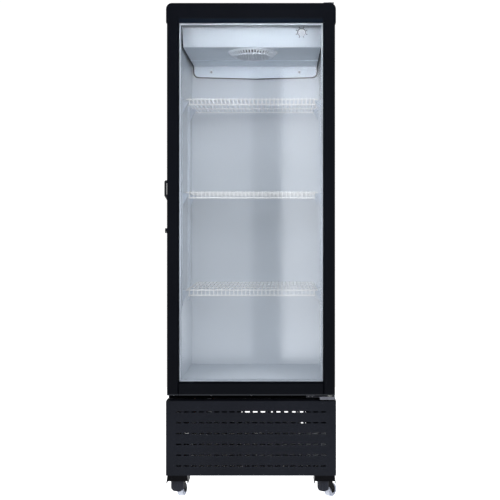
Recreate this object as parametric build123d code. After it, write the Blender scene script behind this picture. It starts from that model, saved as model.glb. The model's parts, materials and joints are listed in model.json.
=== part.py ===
from build123d import *
import os
from math import hypot

os.makedirs("parts", exist_ok=True)

# Frame: X to the right, the door faces -Y, Z up, origin on the floor under the middle. Millimetres.

# ---- Driving dimensions: door
DOOR_WIDTH = 620.0
DOOR_TOP = 1840.0
DOOR_BOTTOM = 393.0
DOOR_DEPTH = 45.0
STILE = 44.5
RAIL = 50.5
CAP_HEIGHT = 72.0
CAP_OVERHANG = 3.0
CAP_CORNER = 22.0
BEVEL_DEPTH = 7.0
CAP_BEVEL_HEIGHT = 18.0
GLASS = 4.0
GLASS_GAP = 14.0
GLASS_BITE = 9.5
GLASS_SETBACK = 11.0
HINGE_X, HINGE_Y = 291.0, -274.0
PIN_DIAMETER = 10.0
RUNNING_FIT = 0.05

# ---- Driving dimensions: cabinet
DEPTH = 590.0
FRONT, REAR = -DEPTH / 2, DEPTH / 2
CABINET_WIDTH = 620.0
FACE = FRONT + 55.0
CABINET_TOP = 1833.0
CABINET_BOTTOM = 373.0
SHEET = 1.5
FACE_TRIM = 4.0
INNER_HALF = 272.0
INNER_BACK = 245.0
INNER_FLOOR = 425.0
INNER_TOP = 1793.0
PLINTH_WIDTH = 628.0
PLINTH_FRONT = FRONT + 5.0
PLINTH_BOTTOM, PLINTH_TOP = 97.0, 372.0

# ---- Driving dimensions: shelves
SHELF_LEVELS = {"lower": 780.0, "middle": 1149.0, "upper": 1501.0}
SHELF_FRONT, SHELF_BACK = FRONT + 85.0, FRONT + 500.0
SHELF_HALF = 247.0
ROD, WIRE = 3.2, 5.0
ROD_COUNT, ROD_SPAN = 32, 471.0
LIP_DROP = 27.0
WELD_BITE = 0.4
STANDARD_YS = (-188.0, 80.0)
STANDARD_DEPTH, STANDARD_WIDTH = 10.0, 25.0
CLIP_LENGTH, CLIP_HEIGHT, CLIP_WIDTH = 22.0, 45.0, 14.0
REST_GAP = 0.3

# ---- Driving dimensions: cooling unit above the load space
COVER_HALF = 262.0
COVER_WALL = 3.0
COVER_BOTTOM = 1698.0
COVER_FRONT_TOP = (FACE + 4.0, 1770.0)
COVER_FRONT_BOTTOM = (-188.0, 1703.0)
COVER_LIP_BOTTOM = 1653.0
FAN_Y = -80.0
GUARD_OUTER, GUARD_INNER, GUARD_DROP = 97.0, 75.0, 17.0
KNOB_X, KNOB_Z = 188.0, 1748.0

# ---- Driving dimensions: machine compartment
SLOT_ROWS, SLOT_COLUMNS = 6, 20
SLOT_PITCH_X, SLOT_PITCH_Z = 28.1, 39.9
SLOT_LENGTH, SLOT_HEIGHT = 20.5, 5.0
COIL_X, COIL_Y, COIL_Z = (-228.0, 186.0), (-276.0, -226.0), (104.0, 284.0)
CONDENSER_FAN = (-21.0, -196.0, 196.0)
COMPRESSOR = (-130.0, 140.0)
COMPRESSOR_RADIUS = 76.0

# ---- Driving dimensions: casters
CASTER_X = 273.0
CASTER_YS = {"front": -245.0, "rear": 228.0}
CASTER_TURN = {"front_left": 17.0, "front_right": 41.0, "rear_left": 12.0, "rear_right": -8.0}
WHEEL_DIAMETER, WHEEL_WIDTH = 50.7, 22.0
TRAIL = 36.0
BRACKET_WIDTH, BRACKET_DEPTH = 73.0, 78.0
CROWN_TOP = 83.0
PEDAL_PIVOT = (0.0, 64.0)


def block(x, y, z):
    """Box between the low and high values of x, y and z."""
    centre = ((x[0] + x[1]) / 2, (y[0] + y[1]) / 2, (z[0] + z[1]) / 2)
    return Pos(*centre) * Box(x[1] - x[0], y[1] - y[0], z[1] - z[0])


def rod(start, end, diameter):
    """Round bar from one point to another."""
    axis = Vector(*end) - Vector(*start)
    return extrude(Plane(origin=start, z_dir=axis) * Circle(diameter / 2), amount=axis.length)


def sleeve(start, end, outer, inner):
    """Round tube from one point to another."""
    return rod(start, end, outer) - rod(start, end, inner)


def along_x(outline, x):
    """Prism of a (y, z) outline between two x values."""
    return extrude(Plane.YZ.offset(x[0]) * make_face(Polyline(*outline, close=True)), amount=x[1] - x[0])


def along_y(outline, y):
    """Prism of an (x, z) outline between two y values."""
    return extrude(Plane.XZ.offset(-y[1]) * make_face(Polyline(*outline, close=True)), amount=y[1] - y[0])


def along_z(outline, z):
    """Prism of an (x, y) outline between two z values."""
    return extrude(Plane.XY.offset(z[0]) * make_face(Polyline(*outline, close=True)), amount=z[1] - z[0])


def pipe(points, diameter, radius):
    """Round tube along straight runs joined by tangent arcs."""
    path = FilletPolyline(*points, radius=radius)
    return sweep(Plane(origin=path @ 0, z_dir=path % 0) * Circle(diameter / 2), path=path)


def pair(shape):
    """A shape and its mirror image across the middle of the cabinet."""
    return [shape, mirror(shape, Plane.YZ)]


def pattern(locations, face):
    """One sketch of a face repeated at each location."""
    return Sketch(children=[location * face for location in locations])


def save(name, *shapes):
    """Write one node as a STEP file that holds each of its solids."""
    solids = [solid for shape in shapes for solid in shape.solids()]
    export_step(Compound(solids) if len(solids) > 1 else solids[0], f"parts/{name}.step")


# ======== Door: a foam-filled frame around a sealed double glass ========
half_door = DOOR_WIDTH / 2
door_back = FRONT + DOOR_DEPTH
window_half = half_door - STILE
window_top = DOOR_TOP - CAP_HEIGHT
window_bottom = DOOR_BOTTOM + RAIL
glass_front = FRONT + GLASS_SETBACK
glass_back = glass_front + 2 * GLASS + GLASS_GAP
glass_half = window_half + GLASS_BITE
glass_z = (window_bottom - GLASS_BITE, window_top + GLASS_BITE)
groove = 0.3
bevel_back = FRONT + BEVEL_DEPTH

stile_outline = [
    (-half_door, FRONT),
    (-half_door, door_back),
    (-window_half, door_back),
    (-window_half, glass_back),
    (-glass_half - groove, glass_back),
    (-glass_half - groove, glass_front),
    (-window_half, glass_front),
    (-window_half, bevel_back),
    (-window_half - BEVEL_DEPTH, FRONT),
]
stile_face = make_face(Polyline(*stile_outline, close=True))
outer_edges = [v for v in stile_face.vertices() if abs(v.X + half_door) < 0.01]
stile_face = fillet(outer_edges, 4.0)
stile = extrude(Plane.XY.offset(DOOR_BOTTOM) * stile_face, amount=window_top - DOOR_BOTTOM)
bottom_chamfer = along_x(
    [(FRONT - 1, DOOR_BOTTOM - 1), (FRONT - 1, DOOR_BOTTOM + 8.4), (FRONT + 5.6, DOOR_BOTTOM - 1)],
    (-half_door - 1, half_door + 1),
)
left_stile = stile - bottom_chamfer
right_stile = mirror(stile, Plane.YZ) - bottom_chamfer

# The bottom hinge bush sits in the right stile, the top one in the cap.
bush_outer = PIN_DIAMETER + 6
bush_depth = 25.0
hinge_bottom = (HINGE_X, HINGE_Y, DOOR_BOTTOM)
hinge_top = (HINGE_X, HINGE_Y, DOOR_TOP)
right_stile -= rod(hinge_bottom, (HINGE_X, HINGE_Y, DOOR_BOTTOM + bush_depth), bush_outer)

# Pull strap on the left edge, held by two studs.
strap_y = (FRONT + 7.0, FRONT + 39.0)
strap_top, strap_bottom = 1187.0, 1113.0
strap_reach = 10.0
gap_z = (1135.0, 1178.0)
gap_reach = 5.5
strap_outline = [
    (-half_door, strap_top),
    (-half_door - 6.0, strap_top),
    (-half_door - strap_reach, strap_top - 5.0),
    (-half_door - strap_reach, strap_bottom + 17.0),
    (-half_door, strap_bottom),
]
side_pull_handle = along_y(strap_outline, strap_y)
side_pull_handle -= block((-half_door - gap_reach, -half_door), (FRONT, 0), gap_z)
stud_y = sum(strap_y) / 2
studs = []
for stud_z in (strap_top - 4.5, strap_bottom + 11.0):
    studs.append(rod((-half_door - 4.0, stud_y, stud_z), (-half_door + 24.0, stud_y, stud_z), 3.8))
    stud_hole = rod((-half_door - 4.0, stud_y, stud_z), (-half_door + 24.0, stud_y, stud_z), 4.0)
    side_pull_handle -= stud_hole
    left_stile -= stud_hole
save("side_pull_handle", side_pull_handle)
save("handle_studs", *studs)

# Key lock on the left edge. Its cam turns back into a slot in the cabinet's face.
LOCK_Y, LOCK_Z = -262.0, 1001.0
LOCK_DIAMETER, PLUG_DIAMETER = 18.0, 12.0
CAM_REACH, CAM_WIDTH = 25.0, 11.0
lock_out = -half_door - 10.0
lock_in = -half_door + 9.0
cam_x = (lock_in + 0.5, lock_in + 3.5)
lock_barrel = sleeve((lock_out, LOCK_Y, LOCK_Z), (lock_in, LOCK_Y, LOCK_Z), LOCK_DIAMETER,
                     PLUG_DIAMETER + 2 * RUNNING_FIT)
lock_plug = rod((lock_out, LOCK_Y, LOCK_Z), (cam_x[1], LOCK_Y, LOCK_Z), PLUG_DIAMETER)
key_slot = block((lock_out - 1, lock_out + 6), (LOCK_Y - 0.9, LOCK_Y + 0.9), (LOCK_Z - 4, LOCK_Z + 4))
cam = block(cam_x, (LOCK_Y - CAM_WIDTH / 2, LOCK_Y + CAM_WIDTH / 2), (LOCK_Z, LOCK_Z + CAM_REACH))
left_stile -= rod((lock_out, LOCK_Y, LOCK_Z), (lock_in, LOCK_Y, LOCK_Z), LOCK_DIAMETER)
cam_room = CAM_REACH + 1.5
pocket_x = (lock_in, cam_x[1] + 0.5)
left_stile -= block(pocket_x, (LOCK_Y - 10.0, door_back + 1), (LOCK_Z - 10.0, LOCK_Z + cam_room))
save("lock_barrel", lock_barrel)
save("lock_plug_cam", lock_plug - key_slot + cam)

save("door_left_stile", left_stile)
save("door_right_stile", right_stile)

rail_outline = [
    (FRONT, DOOR_BOTTOM),
    (door_back, DOOR_BOTTOM),
    (door_back, window_bottom),
    (glass_back, window_bottom),
    (glass_back, glass_z[0] - groove),
    (glass_front, glass_z[0] - groove),
    (glass_front, window_bottom),
    (bevel_back, window_bottom),
    (FRONT, window_bottom - BEVEL_DEPTH),
]
save("door_bottom_rail", along_x(rail_outline, (-window_half, window_half)) - bottom_chamfer)

cap_half = half_door + CAP_OVERHANG
cap_face = Plane.XZ.offset(-door_back) * make_face(
    Polyline((-cap_half, window_top), (cap_half, window_top), (cap_half, DOOR_TOP), (-cap_half, DOOR_TOP),
             close=True))
cap_corners = [v for v in cap_face.vertices() if v.Z > window_top + 1]
top_cap = extrude(fillet(cap_corners, CAP_CORNER), amount=DOOR_DEPTH)
top_cap -= along_x(
    [(FRONT, window_top + CAP_BEVEL_HEIGHT), (FRONT, window_top), (bevel_back, window_top)],
    (-window_half, window_half),
)
top_cap -= block((-glass_half - groove, glass_half + groove), (glass_front, glass_back),
                 (window_top, glass_z[1] + groove))
top_cap -= rod((HINGE_X, HINGE_Y, DOOR_TOP - bush_depth), hinge_top, bush_outer)
save("door_top_cap", top_cap)

glass_x = (-glass_half, glass_half)
outer_pane = block(glass_x, (glass_front, glass_front + GLASS), glass_z)
inner_pane = block(glass_x, (glass_back - GLASS, glass_back), glass_z)
save("door_glass_panes", outer_pane, inner_pane)
spacer_width = 8.0
spacer_shows = 6.0
spacer_y = (glass_front + GLASS, glass_back - GLASS)
spacer_hole_half = window_half - spacer_shows
spacer_half = spacer_hole_half + spacer_width
spacer_hole_z = (window_bottom + spacer_shows, window_top - spacer_shows)
spacer_z = (spacer_hole_z[0] - spacer_width, spacer_hole_z[1] + spacer_width)
glass_spacer = block((-spacer_half, spacer_half), spacer_y, spacer_z)
save("glass_spacer", glass_spacer - block((-spacer_hole_half, spacer_hole_half), spacer_y, spacer_hole_z))

# Magnetic gasket: two upright strips and two level ones that meet between them.
gasket_y = (door_back, FACE - REST_GAP)
gasket_in, gasket_width = INNER_HALF + 1.0, 16.0
gasket_z = (INNER_FLOOR - 1.0 - gasket_width, INNER_TOP + 1.0 + gasket_width)
gasket_strips = pair(block((-gasket_in - gasket_width, -gasket_in), gasket_y, gasket_z))
for strip_bottom in (gasket_z[0], gasket_z[1] - gasket_width):
    strip_z = (strip_bottom, strip_bottom + gasket_width)
    gasket_strips.append(block((-gasket_in, gasket_in), gasket_y, strip_z))
save("door_gasket", *gasket_strips)

pin_hole = PIN_DIAMETER + 2 * RUNNING_FIT
lower_plate_z = (DOOR_BOTTOM - 9.0, DOOR_BOTTOM - 5.0)
lower_bush = sleeve(hinge_bottom, (HINGE_X, HINGE_Y, DOOR_BOTTOM + bush_depth), bush_outer, pin_hole)
lower_bush += sleeve((HINGE_X, HINGE_Y, lower_plate_z[1] + REST_GAP), hinge_bottom, 20.0, pin_hole)
upper_bush = sleeve((HINGE_X, HINGE_Y, DOOR_TOP - bush_depth), hinge_top, bush_outer, pin_hole)
save("hinge_bushes", lower_bush, upper_bush)

# ======== Hinge brackets and pins on the cabinet ========
plate_outline = [
    (204.0, FACE), (204.0, FACE - 12.0), (236.0, FACE - 12.0), (254.0, PLINTH_FRONT),
    (310.0, PLINTH_FRONT), (310.0, FACE),
]
bolt_hole = PIN_DIAMETER + 0.2
lower_bracket = along_z(plate_outline, lower_plate_z)
lower_bracket += block((204.0, 310.0), (FACE - 3.0, FACE), (CABINET_BOTTOM + 2.0, lower_plate_z[1]))
lower_bracket += block((254.0, 310.0), (PLINTH_FRONT, PLINTH_FRONT + 3.0), (377.0, lower_plate_z[1]))
lower_bracket -= rod((HINGE_X, HINGE_Y, 370.0), hinge_bottom, bolt_hole)

upper_plate_z = (DOOR_TOP + 0.8, DOOR_TOP + 3.8)
roof_plate_top = CABINET_TOP + 3.0
upper_outline = [
    (-288.0, upper_plate_z[0]), (-288.0, upper_plate_z[1]), (FACE + 7.0, upper_plate_z[1]),
    (FACE + 7.0, roof_plate_top), (-180.0, roof_plate_top), (-180.0, CABINET_TOP),
    (FACE + 4.0, CABINET_TOP), (FACE + 4.0, upper_plate_z[0]),
]
upper_bracket = along_x(upper_outline, (268.0, 306.0))
upper_bracket -= rod((HINGE_X, HINGE_Y, DOOR_TOP), (HINGE_X, HINGE_Y, DOOR_TOP + 6), bolt_hole)
save("hinge_brackets", lower_bracket, upper_bracket)

lower_pin = rod((HINGE_X, HINGE_Y, 375.0), (HINGE_X, HINGE_Y, DOOR_BOTTOM + 21.0), PIN_DIAMETER)
nut_face = Pos(HINGE_X, HINGE_Y, 375.0) * RegularPolygon(9.0, 6)
lower_pin += extrude(nut_face, amount=lower_plate_z[0] - 375.0)
upper_pin = rod((HINGE_X, HINGE_Y, DOOR_TOP - 21.0), (HINGE_X, HINGE_Y, upper_plate_z[1]), PIN_DIAMETER)
upper_pin += rod((HINGE_X, HINGE_Y, upper_plate_z[1]), (HINGE_X, HINGE_Y, DOOR_TOP + 6.0), 16.0)
save("hinge_pins", lower_pin, upper_pin)

# ======== Cabinet: folded outer sheets, foam and inner liner ========
half = CABINET_WIDTH / 2
side_y = (FACE, REAR)
shell = pair(block((-half, -half + SHEET), side_y, (PLINTH_BOTTOM, CABINET_TOP)))
in_shell = (-half + SHEET, half - SHEET)
shell.append(block(in_shell, side_y, (CABINET_TOP - SHEET, CABINET_TOP)))
shell.append(block(in_shell, side_y, (CABINET_BOTTOM, CABINET_BOTTOM + SHEET)))
save("outer_shell", *shell)

foam_z = (CABINET_BOTTOM + SHEET, CABINET_TOP - SHEET)
foam_y = (FACE + FACE_TRIM, REAR - SHEET)
save("rear_panel", block(in_shell, (REAR - SHEET, REAR), foam_z))

liner_x = (-INNER_HALF - SHEET, INNER_HALF + SHEET)
liner_y = (FACE + FACE_TRIM, INNER_BACK + SHEET)
liner_z = (INNER_FLOOR - SHEET, INNER_TOP + SHEET)
inner_x = (-INNER_HALF, INNER_HALF)
foam = pair(block((-half + SHEET, liner_x[0]), foam_y, foam_z))
foam.append(block(liner_x, (liner_y[1], foam_y[1]), foam_z))
foam.append(block(liner_x, liner_y, (liner_z[1], foam_z[1])))
foam.append(block(liner_x, liner_y, (foam_z[0], liner_z[0])))
save("insulation_foam", *foam)

liner = pair(block((liner_x[0], -INNER_HALF), liner_y, liner_z))
liner.append(block(inner_x, (INNER_BACK, liner_y[1]), liner_z))
liner.append(block(inner_x, (liner_y[0], INNER_BACK), (liner_z[0], INNER_FLOOR)))
liner.append(block(inner_x, (liner_y[0], INNER_BACK), (INNER_TOP, liner_z[1])))
save("inner_liner", *liner)

trim_y = (FACE, FACE + FACE_TRIM)
beam_top = 397.0
strike_slot = block((cam_x[0] - 1.5, cam_x[1] + 1.5), (FACE - 1, FACE + FACE_TRIM + 1),
                    (LOCK_Z - 8.0, LOCK_Z + 15.0))
left_trim = block((-half + SHEET, -INNER_HALF), trim_y, (beam_top, foam_z[1]))
right_trim = mirror(left_trim, Plane.YZ)
top_trim = block(inner_x, trim_y, (INNER_TOP, foam_z[1]))
bottom_trim = block(inner_x, trim_y, (beam_top, INNER_FLOOR))
save("front_breaker_frame", left_trim - strike_slot, right_trim, top_trim, bottom_trim)
save("lower_front_beam", block(in_shell, trim_y, (foam_z[0], beam_top)))

# ======== Machine compartment below the load space ========
plinth_half = PLINTH_WIDTH / 2
grille_z = (PLINTH_BOTTOM, PLINTH_TOP)
plinth_back = FACE + 6.0
grille = block((-plinth_half, plinth_half), (PLINTH_FRONT, plinth_back), grille_z)
grille -= block((-plinth_half + SHEET, plinth_half - SHEET), (PLINTH_FRONT + SHEET, plinth_back),
                (PLINTH_BOTTOM, PLINTH_TOP - SHEET))
slot_grid = GridLocations(SLOT_PITCH_X, SLOT_PITCH_Z, SLOT_COLUMNS, SLOT_ROWS)
slots = pattern(slot_grid, SlotOverall(SLOT_LENGTH, SLOT_HEIGHT))
slot_plane = Plane.XZ.offset(-PLINTH_FRONT - 2 * SHEET)
slot_centre = Pos(0, 0, (PLINTH_BOTTOM + PLINTH_TOP) / 2 - 2.0)
grille -= slot_centre * extrude(slot_plane * slots, amount=3 * SHEET)
grille -= block((-half - 0.5, half + 0.5), (FACE - 0.5, plinth_back), grille_z)
save("front_grille_panel", grille)

pan_z = (PLINTH_BOTTOM, PLINTH_BOTTOM + 2.0)
pan_y = (PLINTH_FRONT + SHEET + 0.5, REAR - 6.0)
base_pan = block(in_shell, pan_y, pan_z)
base_pan += block(in_shell, (pan_y[1] - 2.0, pan_y[1]), (pan_z[1], pan_z[1] + 18.0))
save("base_pan", base_pan)

rear_grille_z = (pan_z[1] + 18.5, CABINET_BOTTOM - 1.0)
rear_grille = block(in_shell, (pan_y[1], pan_y[1] + SHEET), rear_grille_z)
rear_slots = pattern(GridLocations(34.0, 24.0, 13, 7), SlotOverall(26.0, 6.0))
rear_slot_plane = Plane.XZ.offset(-pan_y[1] - 3 * SHEET)
rear_slot_cut = extrude(rear_slot_plane * rear_slots, amount=6 * SHEET)
rear_grille -= Pos(0, 0, 210.0) * rear_slot_cut
gland_at = (250.0, 336.0)
rear_grille -= rod((gland_at[0], pan_y[1] - 5, gland_at[1]), (gland_at[0], REAR, gland_at[1]), 16.2)
save("rear_grille_panel", rear_grille)
gland_y = pan_y[1]
gland = sleeve((gland_at[0], gland_y - 14.0, gland_at[1]), (gland_at[0], REAR - 0.5, gland_at[1]), 16.0, 8.0)
gland_collar = gland_y + SHEET
gland += sleeve((gland_at[0], gland_collar, gland_at[1]), (gland_at[0], REAR - 0.5, gland_at[1]), 24.0, 8.0)
save("cord_gland", gland)

# Compressor: a welded steel pot on a foot plate that stands on four rubber mounts.
px, py = COMPRESSOR
foot_z = (pan_z[1] + 14.0, pan_z[1] + 17.0)
pot_top = 288.0
pot_outline = make_face(Polyline(
    (0, foot_z[1]), (COMPRESSOR_RADIUS, foot_z[1]), (COMPRESSOR_RADIUS, pot_top), (0, pot_top), close=True))
pot_outline = fillet([v for v in pot_outline.vertices() if v.X > 1 and v.Y > 200], 52.0)
compressor = Pos(px, py, 0) * revolve(Plane.XZ * pot_outline, Axis.Z)
compressor += Pos(px, py, (foot_z[0] + foot_z[1]) / 2) * Box(196.0, 128.0, foot_z[1] - foot_z[0])
compressor += Pos(px, py, 203.0) * Cylinder(COMPRESSOR_RADIUS + 2.5, 7.0)
compressor += block((px + 60.0, px + 96.0), (py - 32.0, py + 32.0), (150.0, 222.0))
save("compressor", compressor)
mounts = []
for dx in (-84.0, 84.0):
    for dy in (-52.0, 52.0):
        mounts.append(rod((px + dx, py + dy, pan_z[1]), (px + dx, py + dy, foot_z[0]), 24.0))
save("compressor_mounts", *mounts)

# Condenser: a comb of vertical fins between two end plates.
def fin_pack(x, y, z, count, back):
    """Finned coil: one solid comb of fins on a backing, with an end plate at each side."""
    pack = block(x, (y[1] - back, y[1]), z)
    pitch = (x[1] - x[0]) / count
    for index in range(count + 1):
        thickness = 3.0 if index in (0, count) else 1.6
        centre = min(max(x[0] + index * pitch, x[0] + thickness / 2), x[1] - thickness / 2)
        pack += block((centre - thickness / 2, centre + thickness / 2), y, z)
    return pack


save("condenser_coil", fin_pack(COIL_X, COIL_Y, COIL_Z, 46, 6.0))

fan_x, fan_y, fan_z = CONDENSER_FAN
shroud_y = (COIL_Y[1], COIL_Y[1] + 2.0)
shroud = block(COIL_X, shroud_y, COIL_Z)
collar_start = (fan_x, shroud_y[0], fan_z)
shroud += rod(collar_start, (fan_x, fan_y + 14.0, fan_z), 180.0)
shroud -= rod(collar_start, (fan_x, fan_y + 14.0, fan_z), 176.0)
save("condenser_fan_shroud", shroud)


def fan_blade(radius, hub_radius, hub_length, blades, chord, pitch):
    """Axial fan about Z, centred on the origin, with a blind bore up from its back."""
    fan = Cylinder(hub_radius, hub_length)
    blade_place = Pos((radius + hub_radius) / 2 - 2, 0, 0) * Rot(pitch, 0, 0)
    blade = blade_place * Box(radius - hub_radius + 4, chord, 2.0)
    for index in range(blades):
        fan += Rot(0, 0, index * 360 / blades) * blade
    rim = Cylinder(radius, hub_length * 3)
    bore = Pos(0, 0, hub_length / 4) * Cylinder(2.5 + RUNNING_FIT, hub_length / 2)
    return (fan & rim) - bore


def fan_motor(radius, length, stand_off, hub_length, arm_reach, leg_drop):
    """Motor behind a fan on +Z, its shaft in the fan's bore, held by three arms with legs."""
    motor = Pos(0, 0, stand_off + length / 2) * Cylinder(radius, length)
    motor += Pos(0, 0, stand_off / 2 + 0.5) * Cylinder(2.5, stand_off - 1.0)
    for index in range(3):
        arm = Pos(arm_reach / 2 + radius / 2 - 2, 0, stand_off + 6) * Box(arm_reach - radius + 4, 10, 4)
        leg_height = stand_off + 8 + leg_drop
        leg = Pos(arm_reach - 2, 0, stand_off + 8 - leg_height / 2) * Box(4, 10, leg_height)
        motor += Rot(0, 0, 30 + index * 120) * (arm + leg)
    return motor


HUB_LENGTH = 16.0
condenser_place = Plane(origin=(fan_x, fan_y, fan_z), x_dir=(1, 0, 0), z_dir=(0, 1, 0)).location
save("condenser_fan_blade", condenser_place * fan_blade(84.0, 20.0, HUB_LENGTH, 5, 44.0, 28.0))
save("condenser_fan_motor", condenser_place * fan_motor(36.0, 46.0, 18.0, HUB_LENGTH, 94.0, 28.0))

tray_x, tray_y, tray_z = (30.0, 286.0), (70.0, 262.0), (pan_z[1], pan_z[1] + 42.0)
tray = block(tray_x, tray_y, tray_z)
tray -= block((tray_x[0] + 2, tray_x[1] - 2), (tray_y[0] + 2, tray_y[1] - 2), (tray_z[0] + 2, tray_z[1]))
save("evaporation_tray", tray)

power_box = block((208.0, 288.0), (-272.0, -190.0), (150.0, 264.0))
power_box += block((218.0, 250.0), (-276.0, -272.0), (228.0, 252.0))
save("power_box", power_box)

# Copper lines: discharge, liquid through the filter drier, and suction.
LINE = 8.0
header_x = COIL_X[0] - 0.2
discharge = [(px, py - COMPRESSOR_RADIUS - 0.2, 230), (px, 10, 230), (-262, 10, 230), (-262, -250, 230),
             (header_x, -250, 230)]
liquid_in = [(header_x, -250, 130), (-262, -250, 130), (-262, 44, 130)]
liquid_out = [(-262, 144.2, 130), (-262, 264, 130), (-262, 264, CABINET_BOTTOM - 0.2)]
suction = [(-180, 264, CABINET_BOTTOM - 0.2), (-180, 264, 236), (px, 264, 236),
           (px, py + COMPRESSOR_RADIUS + 0.2, 236)]
lines = [pipe(route, LINE, 14.0) for route in (discharge, liquid_in, liquid_out, suction)]
save("refrigerant_lines", *lines)
drier = rod((-262, 60, 130), (-262, 128, 130), 24.0)
drier += rod((-262, 44.2, 130), (-262, 144, 130), 12.0)
save("filter_drier", drier)
drain = [(-159, -226, CABINET_BOTTOM - 0.2), (-159, -226, 312), (-159, 30, 312),
         (60, 110, 312), (60, 110, 146)]
save("drain_tube", pipe(drain, 18.0, 20.0))

# ======== Cooling unit under the ceiling ========
top_gap = 0.3
cover_top = INNER_TOP - top_gap
cover_back = INNER_BACK - 5.0
crease_y = 89.0
cover_outline = [
    (COVER_FRONT_TOP[0], cover_top),
    COVER_FRONT_TOP,
    COVER_FRONT_BOTTOM,
    (COVER_FRONT_BOTTOM[0] + 5.0, COVER_BOTTOM),
    (crease_y - 7.0, COVER_BOTTOM),
    (crease_y, COVER_BOTTOM - 2.5),
    (crease_y + 7.0, COVER_BOTTOM),
    (cover_back, COVER_BOTTOM),
    (cover_back, cover_top),
]
hollow_outline = [
    (COVER_FRONT_TOP[0] + COVER_WALL, INNER_TOP + 1),
    (COVER_FRONT_TOP[0] + COVER_WALL, COVER_FRONT_TOP[1] + 1.0),
    (COVER_FRONT_BOTTOM[0] + COVER_WALL, COVER_FRONT_BOTTOM[1] + 1.0),
    (COVER_FRONT_BOTTOM[0] + 6.0, COVER_BOTTOM + COVER_WALL),
    (INNER_BACK, COVER_BOTTOM + COVER_WALL),
    (INNER_BACK, INNER_TOP + 1),
]
cover = along_x(cover_outline, (-COVER_HALF, COVER_HALF))
cover -= along_x(hollow_outline, (-COVER_HALF + COVER_WALL, COVER_HALF - COVER_WALL))
lip_face = make_face(Polyline(
    (-COVER_HALF, COVER_BOTTOM + COVER_WALL), (-COVER_HALF, COVER_LIP_BOTTOM), (0, COVER_LIP_BOTTOM - 6.5),
    (COVER_HALF, COVER_LIP_BOTTOM), (COVER_HALF, COVER_BOTTOM + COVER_WALL), close=True))
lip_face = fillet([v for v in lip_face.vertices() if abs(v.Y - COVER_LIP_BOTTOM) < 0.1], 25.0)
cover += extrude(Plane.XZ.offset(-cover_back) * lip_face, amount=COVER_WALL)
cover_screws_x, cover_screw_z = 188.0, 1674.0
cover -= rod((0, FAN_Y, COVER_BOTTOM - 1), (0, FAN_Y, COVER_BOTTOM + COVER_WALL + 1), 178.0)

panel_run = hypot(COVER_FRONT_BOTTOM[0] - COVER_FRONT_TOP[0], COVER_FRONT_BOTTOM[1] - COVER_FRONT_TOP[1])
panel_out = Vector(0, (COVER_FRONT_BOTTOM[1] - COVER_FRONT_TOP[1]) / panel_run,
                   -(COVER_FRONT_BOTTOM[0] - COVER_FRONT_TOP[0]) / panel_run)
knob_t = (COVER_FRONT_TOP[1] - KNOB_Z) / (COVER_FRONT_TOP[1] - COVER_FRONT_BOTTOM[1])
knob_y = COVER_FRONT_TOP[0] + knob_t * (COVER_FRONT_BOTTOM[0] - COVER_FRONT_TOP[0])
knob_place = Plane(origin=(KNOB_X, knob_y, KNOB_Z), x_dir=(1, 0, 0), z_dir=panel_out).location
cover -= knob_place * Cylinder(3.6, 20.0)
save("evaporator_cover", cover)

knob = Pos(0, 0, 5.0) * Cylinder(19.0, 8.0)
for index in range(12):
    knob -= Rot(0, 0, index * 30) * Pos(20.6, 0, 5.0) * Cylinder(3.6, 8.0)
knob += Pos(0, 0, 11.0) * Cylinder(12.0, 4.0)
knob += Pos(0, 0, -3.0) * Cylinder(3.0, 22.0)
save("thermostat_knob", knob_place * knob)
thermostat = Pos(0, 0, -18.0) * Box(44.0, 34.0, 24.0) - Pos(0, 0, -12.0) * Cylinder(3.0 + RUNNING_FIT, 14.0)
save("thermostat_body", knob_place * thermostat)

# Fan guard: a slotted cone around a perforated disc.
guard_wall = 2.5
guard_low = COVER_BOTTOM - GUARD_DROP
cone_outline = make_face(Polyline(
    (GUARD_INNER, guard_low - guard_wall), (GUARD_OUTER, COVER_BOTTOM - guard_wall),
    (GUARD_OUTER, COVER_BOTTOM), (GUARD_OUTER - 3.0, COVER_BOTTOM), (GUARD_INNER, guard_low), close=True))
guard = revolve(Plane.XZ * cone_outline, Axis.Z)
for index in range(48):
    middle = (GUARD_OUTER + GUARD_INNER) / 2
    cut = Pos(middle - 1.0, 0, (COVER_BOTTOM + guard_low) / 2) * Box(14.0, 5.0, 30.0)
    guard -= Rot(0, 0, index * 7.5) * cut
disc = Circle(GUARD_INNER + 0.5)
holes = [place for place in HexLocations(5.6, 13, 13) if place.position.length < GUARD_INNER - 8.0]
disc -= [place * Circle(3.6) for place in holes]
guard += Pos(0, 0, guard_low - guard_wall) * extrude(disc, amount=guard_wall)
save("fan_guard", Pos(0, FAN_Y, 0) * guard)

evaporator_place = Pos(0, FAN_Y, COVER_BOTTOM + 2.0)
save("evaporator_fan_blade", evaporator_place * fan_blade(80.0, 18.0, HUB_LENGTH, 5, 34.0, 24.0))
save("evaporator_fan_motor", evaporator_place * fan_motor(36.0, 40.0, 18.0, HUB_LENGTH, 98.0, -1.0))
evaporator_z = (COVER_BOTTOM + 12.0, INNER_TOP - 8.0)
save("evaporator_coil", fin_pack((-222.0, 222.0), (30.0, 205.0), evaporator_z, 40, 8.0))

save("led_light_strip", block((INNER_HALF - 8.0, INNER_HALF), (-230.0, -214.0), (500.0, 1640.0)))

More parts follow.
